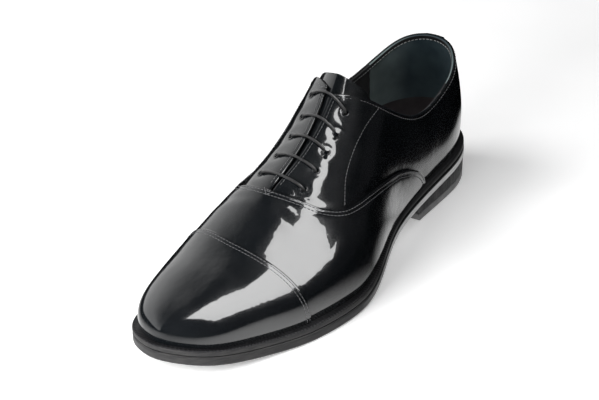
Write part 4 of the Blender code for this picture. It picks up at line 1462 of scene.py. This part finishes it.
def sole_edge_finish():
    """Dark satin edge in front; behind the waist, a pale painted reflection of the floor below a black
    upper part.
    """
    made = Finish("outsole_edge")
    streaks = made.noise(9, 3.0, STREAKS)
    dark = made.ramp(streaks, *SOLE_EDGE_GREY)
    # pale grey is painted on the heel end of the edge as the floor's reflection
    pale = made.ramp(streaks, (0.56, 0.56, 0.56), (0.70, 0.70, 0.70))
    black = made.ramp(streaks, (0.004, 0.004, 0.004), (0.010, 0.010, 0.010))
    upper_part = made.ramp(made.coordinate("UV", "Y"), BLACK, WHITE, *SOLE_BLACK_SPAN)
    made.put(made.shader, {
        "Base Color": made.mix(made.toward_toe(), made.mix(upper_part, pale, black), dark),
        "Roughness": made.uneven(5, 0.30, 0.42),
        "Specular IOR Level": 0.12,
        "Normal": made.bump(made.noise(0.8, 3.0, (1.0, 1.0, 6.0)), 0.05),
    })
    return made.material


def soft_finish(soft):
    """Matt or satin surface with a fine grain."""
    made = Finish(soft.name)
    made.put(made.shader, {
        "Base Color": made.ramp(made.noise(12, 3.0, soft.stretch), soft.low, soft.high),
        "Roughness": made.uneven(5, soft.roughness - ROUGHNESS_SPREAD, soft.roughness + ROUGHNESS_SPREAD),
        "Specular IOR Level": soft.shine,
        "Normal": made.bump(made.noise(soft.grain, 3.0, soft.stretch), soft.depth),
    })
    return made.material


# Studio

def look_along(made, place, target):
    made.location = place
    made.rotation_euler = (Vector(target) - Vector(place)).to_track_quat("-Z", "Y").to_euler()


def add_lamp(lamp):
    """A soft square lamp that glossy surfaces don't mirror."""
    data = bpy.data.lights.new(lamp.name, "AREA")
    data.shape = "SQUARE"
    data.size = lamp.size
    data.energy = lamp.power
    made = bpy.data.objects.new(lamp.name, data)
    bpy.context.scene.collection.objects.link(made)
    look_along(made, lamp.place, lamp.faces)
    made.visible_glossy = False


def only_mirrored(made):
    """Leave a piece of the studio to reflections alone."""
    for rays in ("camera", "diffuse", "shadow", "transmission", "volume_scatter"):
        setattr(made, "visible_" + rays, False)


def glow(name):
    """A material that only gives light."""
    made = Finish(name)
    made.nodes.clear()
    made.shader = made.nodes.new("ShaderNodeEmission")
    output = made.nodes.new("ShaderNodeOutputMaterial")
    made.put(output, {"Surface": made.shader.outputs["Emission"]})
    return made


def flat_piece(name, corners):
    """A flat piece of the studio."""
    mesh = bpy.data.meshes.new(name)
    mesh.from_pydata(corners, [], [tuple(range(len(corners)))])
    made = bpy.data.objects.new(name, mesh)
    bpy.context.scene.collection.objects.link(made)
    return made


def level_square(name, size, z):
    half = size / 2
    return flat_piece(name, [(-half, -half, z), (half, -half, z), (half, half, z), (-half, half, z)])


def add_card(card):
    """A card for reflections, which is bright, fades upwards or is black."""
    corners = [Vector(card.middle) + across * Vector(card.right) + along * Vector(card.up)
               for across, along in card.corners]
    made = flat_piece(card.name, corners)
    finish = glow(card.name)
    strength = card.radiance
    if card.fade is not None:
        strength = finish.between(finish.coordinate("Object", "Z"), *card.fade, card.radiance, 0.0)
    finish.put(finish.shader, {"Strength": strength})
    made.data.materials.append(finish.material)
    only_mirrored(made)


def add_floor_card():
    """The lit floor next to the shoe, for reflections low on its sides."""
    made = level_square("card_floor", FLOOR_CARD_SIZE, FLOOR_CARD_Z)
    finish = glow("card_floor")
    where = finish.node("ShaderNodeTexCoord", "Object", {})
    strength = None
    for pool in POOLS:
        values = {"Vector": where, "Location": (pool.x, pool.y, 0.0),
                  "Scale": (pool.half_x, pool.half_y, 1.0)}
        place = finish.node("ShaderNodeMapping", "Vector", values, vector_type="TEXTURE")
        away = finish.node("ShaderNodeVectorMath", "Value", {0: place}, operation="LENGTH")
        light = finish.between(away, pool.flat, 1.0, pool.radiance, 0.0, interpolation_type="SMOOTHSTEP")
        if strength is None:
            strength = light
        else:
            strength = finish.node("ShaderNodeMath", "Value", {0: strength, 1: light}, operation="MAXIMUM")
    finish.put(finish.shader, {"Strength": strength})
    made.data.materials.append(finish.material)
    only_mirrored(made)


def make_floor():
    floor = level_square("floor", FLOOR_SIZE, FLOOR_Z)
    finish = Finish("pale_floor")
    finish.put(finish.shader, {
        "Base Color": finish.ramp(finish.noise(60), (0.90, 0.90, 0.90), (0.93, 0.93, 0.93)),
        "Roughness": 0.9,
        "Specular IOR Level": 0.0,
        "Emission Color": (*WHITE, 1.0),
        "Emission Strength": FLOOR_GLOW,
    })
    floor.data.materials.append(finish.material)
    floor.visible_glossy = False


def make_world():
    world = bpy.data.worlds.new("studio")
    bpy.context.scene.world = world
    world.use_nodes = True
    world.node_tree.nodes["Background"].inputs["Color"].default_value = WORLD_GREY


def make_camera():
    """The photograph's view: azimuth and elevation round the shoe, rolled."""
    level_part = math.cos(CAMERA_ELEVATION)
    back = Vector((math.sin(CAMERA_AZIMUTH) * level_part, -math.cos(CAMERA_AZIMUTH) * level_part,
                   math.sin(CAMERA_ELEVATION)))
    right = Vector((math.cos(CAMERA_AZIMUTH), math.sin(CAMERA_AZIMUTH), 0.0))
    up = back.cross(right)
    tilted_right = right * math.cos(CAMERA_ROLL) + up * math.sin(CAMERA_ROLL)
    tilted_up = up * math.cos(CAMERA_ROLL) - right * math.sin(CAMERA_ROLL)
    data = bpy.data.cameras.new("camera")
    data.sensor_width = SENSOR_WIDTH
    data.lens = CAMERA_LENS
    made = bpy.data.objects.new("camera", data)
    bpy.context.scene.collection.objects.link(made)
    turn = Matrix((tilted_right, tilted_up, back)).transposed().to_4x4()
    target = Vector(to_row(CAMERA_TARGET))
    made.matrix_world = Matrix.Translation(target + back * CAMERA_DISTANCE) @ turn
    bpy.context.scene.camera = made


def main():
    patent = patent_leather()
    lining = lining_finish()
    soft = {row.name: soft_finish(row) for row in SOFT_FINISHES}
    make_quarters(patent)
    make_lining(soft["lining_black"], lining)
    make_topline_band(soft["lining_black"], soft["pale_thread"])
    make_vamp(patent)
    make_toe_cap(patent)
    make_back_tab(patent)
    make_tongue(patent)
    make_stitches(soft["thread"])
    make_eyelet_rims(patent)
    make_laces(soft["waxed_lace"])
    make_insole(lining)
    make_welt(welt_finish())
    make_outsole(sole_edge_finish())
    make_heel(soft["heel_stack"], soft["heel_rubber"])
    make_floor()
    make_world()
    make_camera()
    for card in CARDS:
        add_card(card)
    add_floor_card()
    for lamp in LAMPS:
        add_lamp(lamp)
    bpy.context.scene.view_settings.view_transform = "Standard"


main()
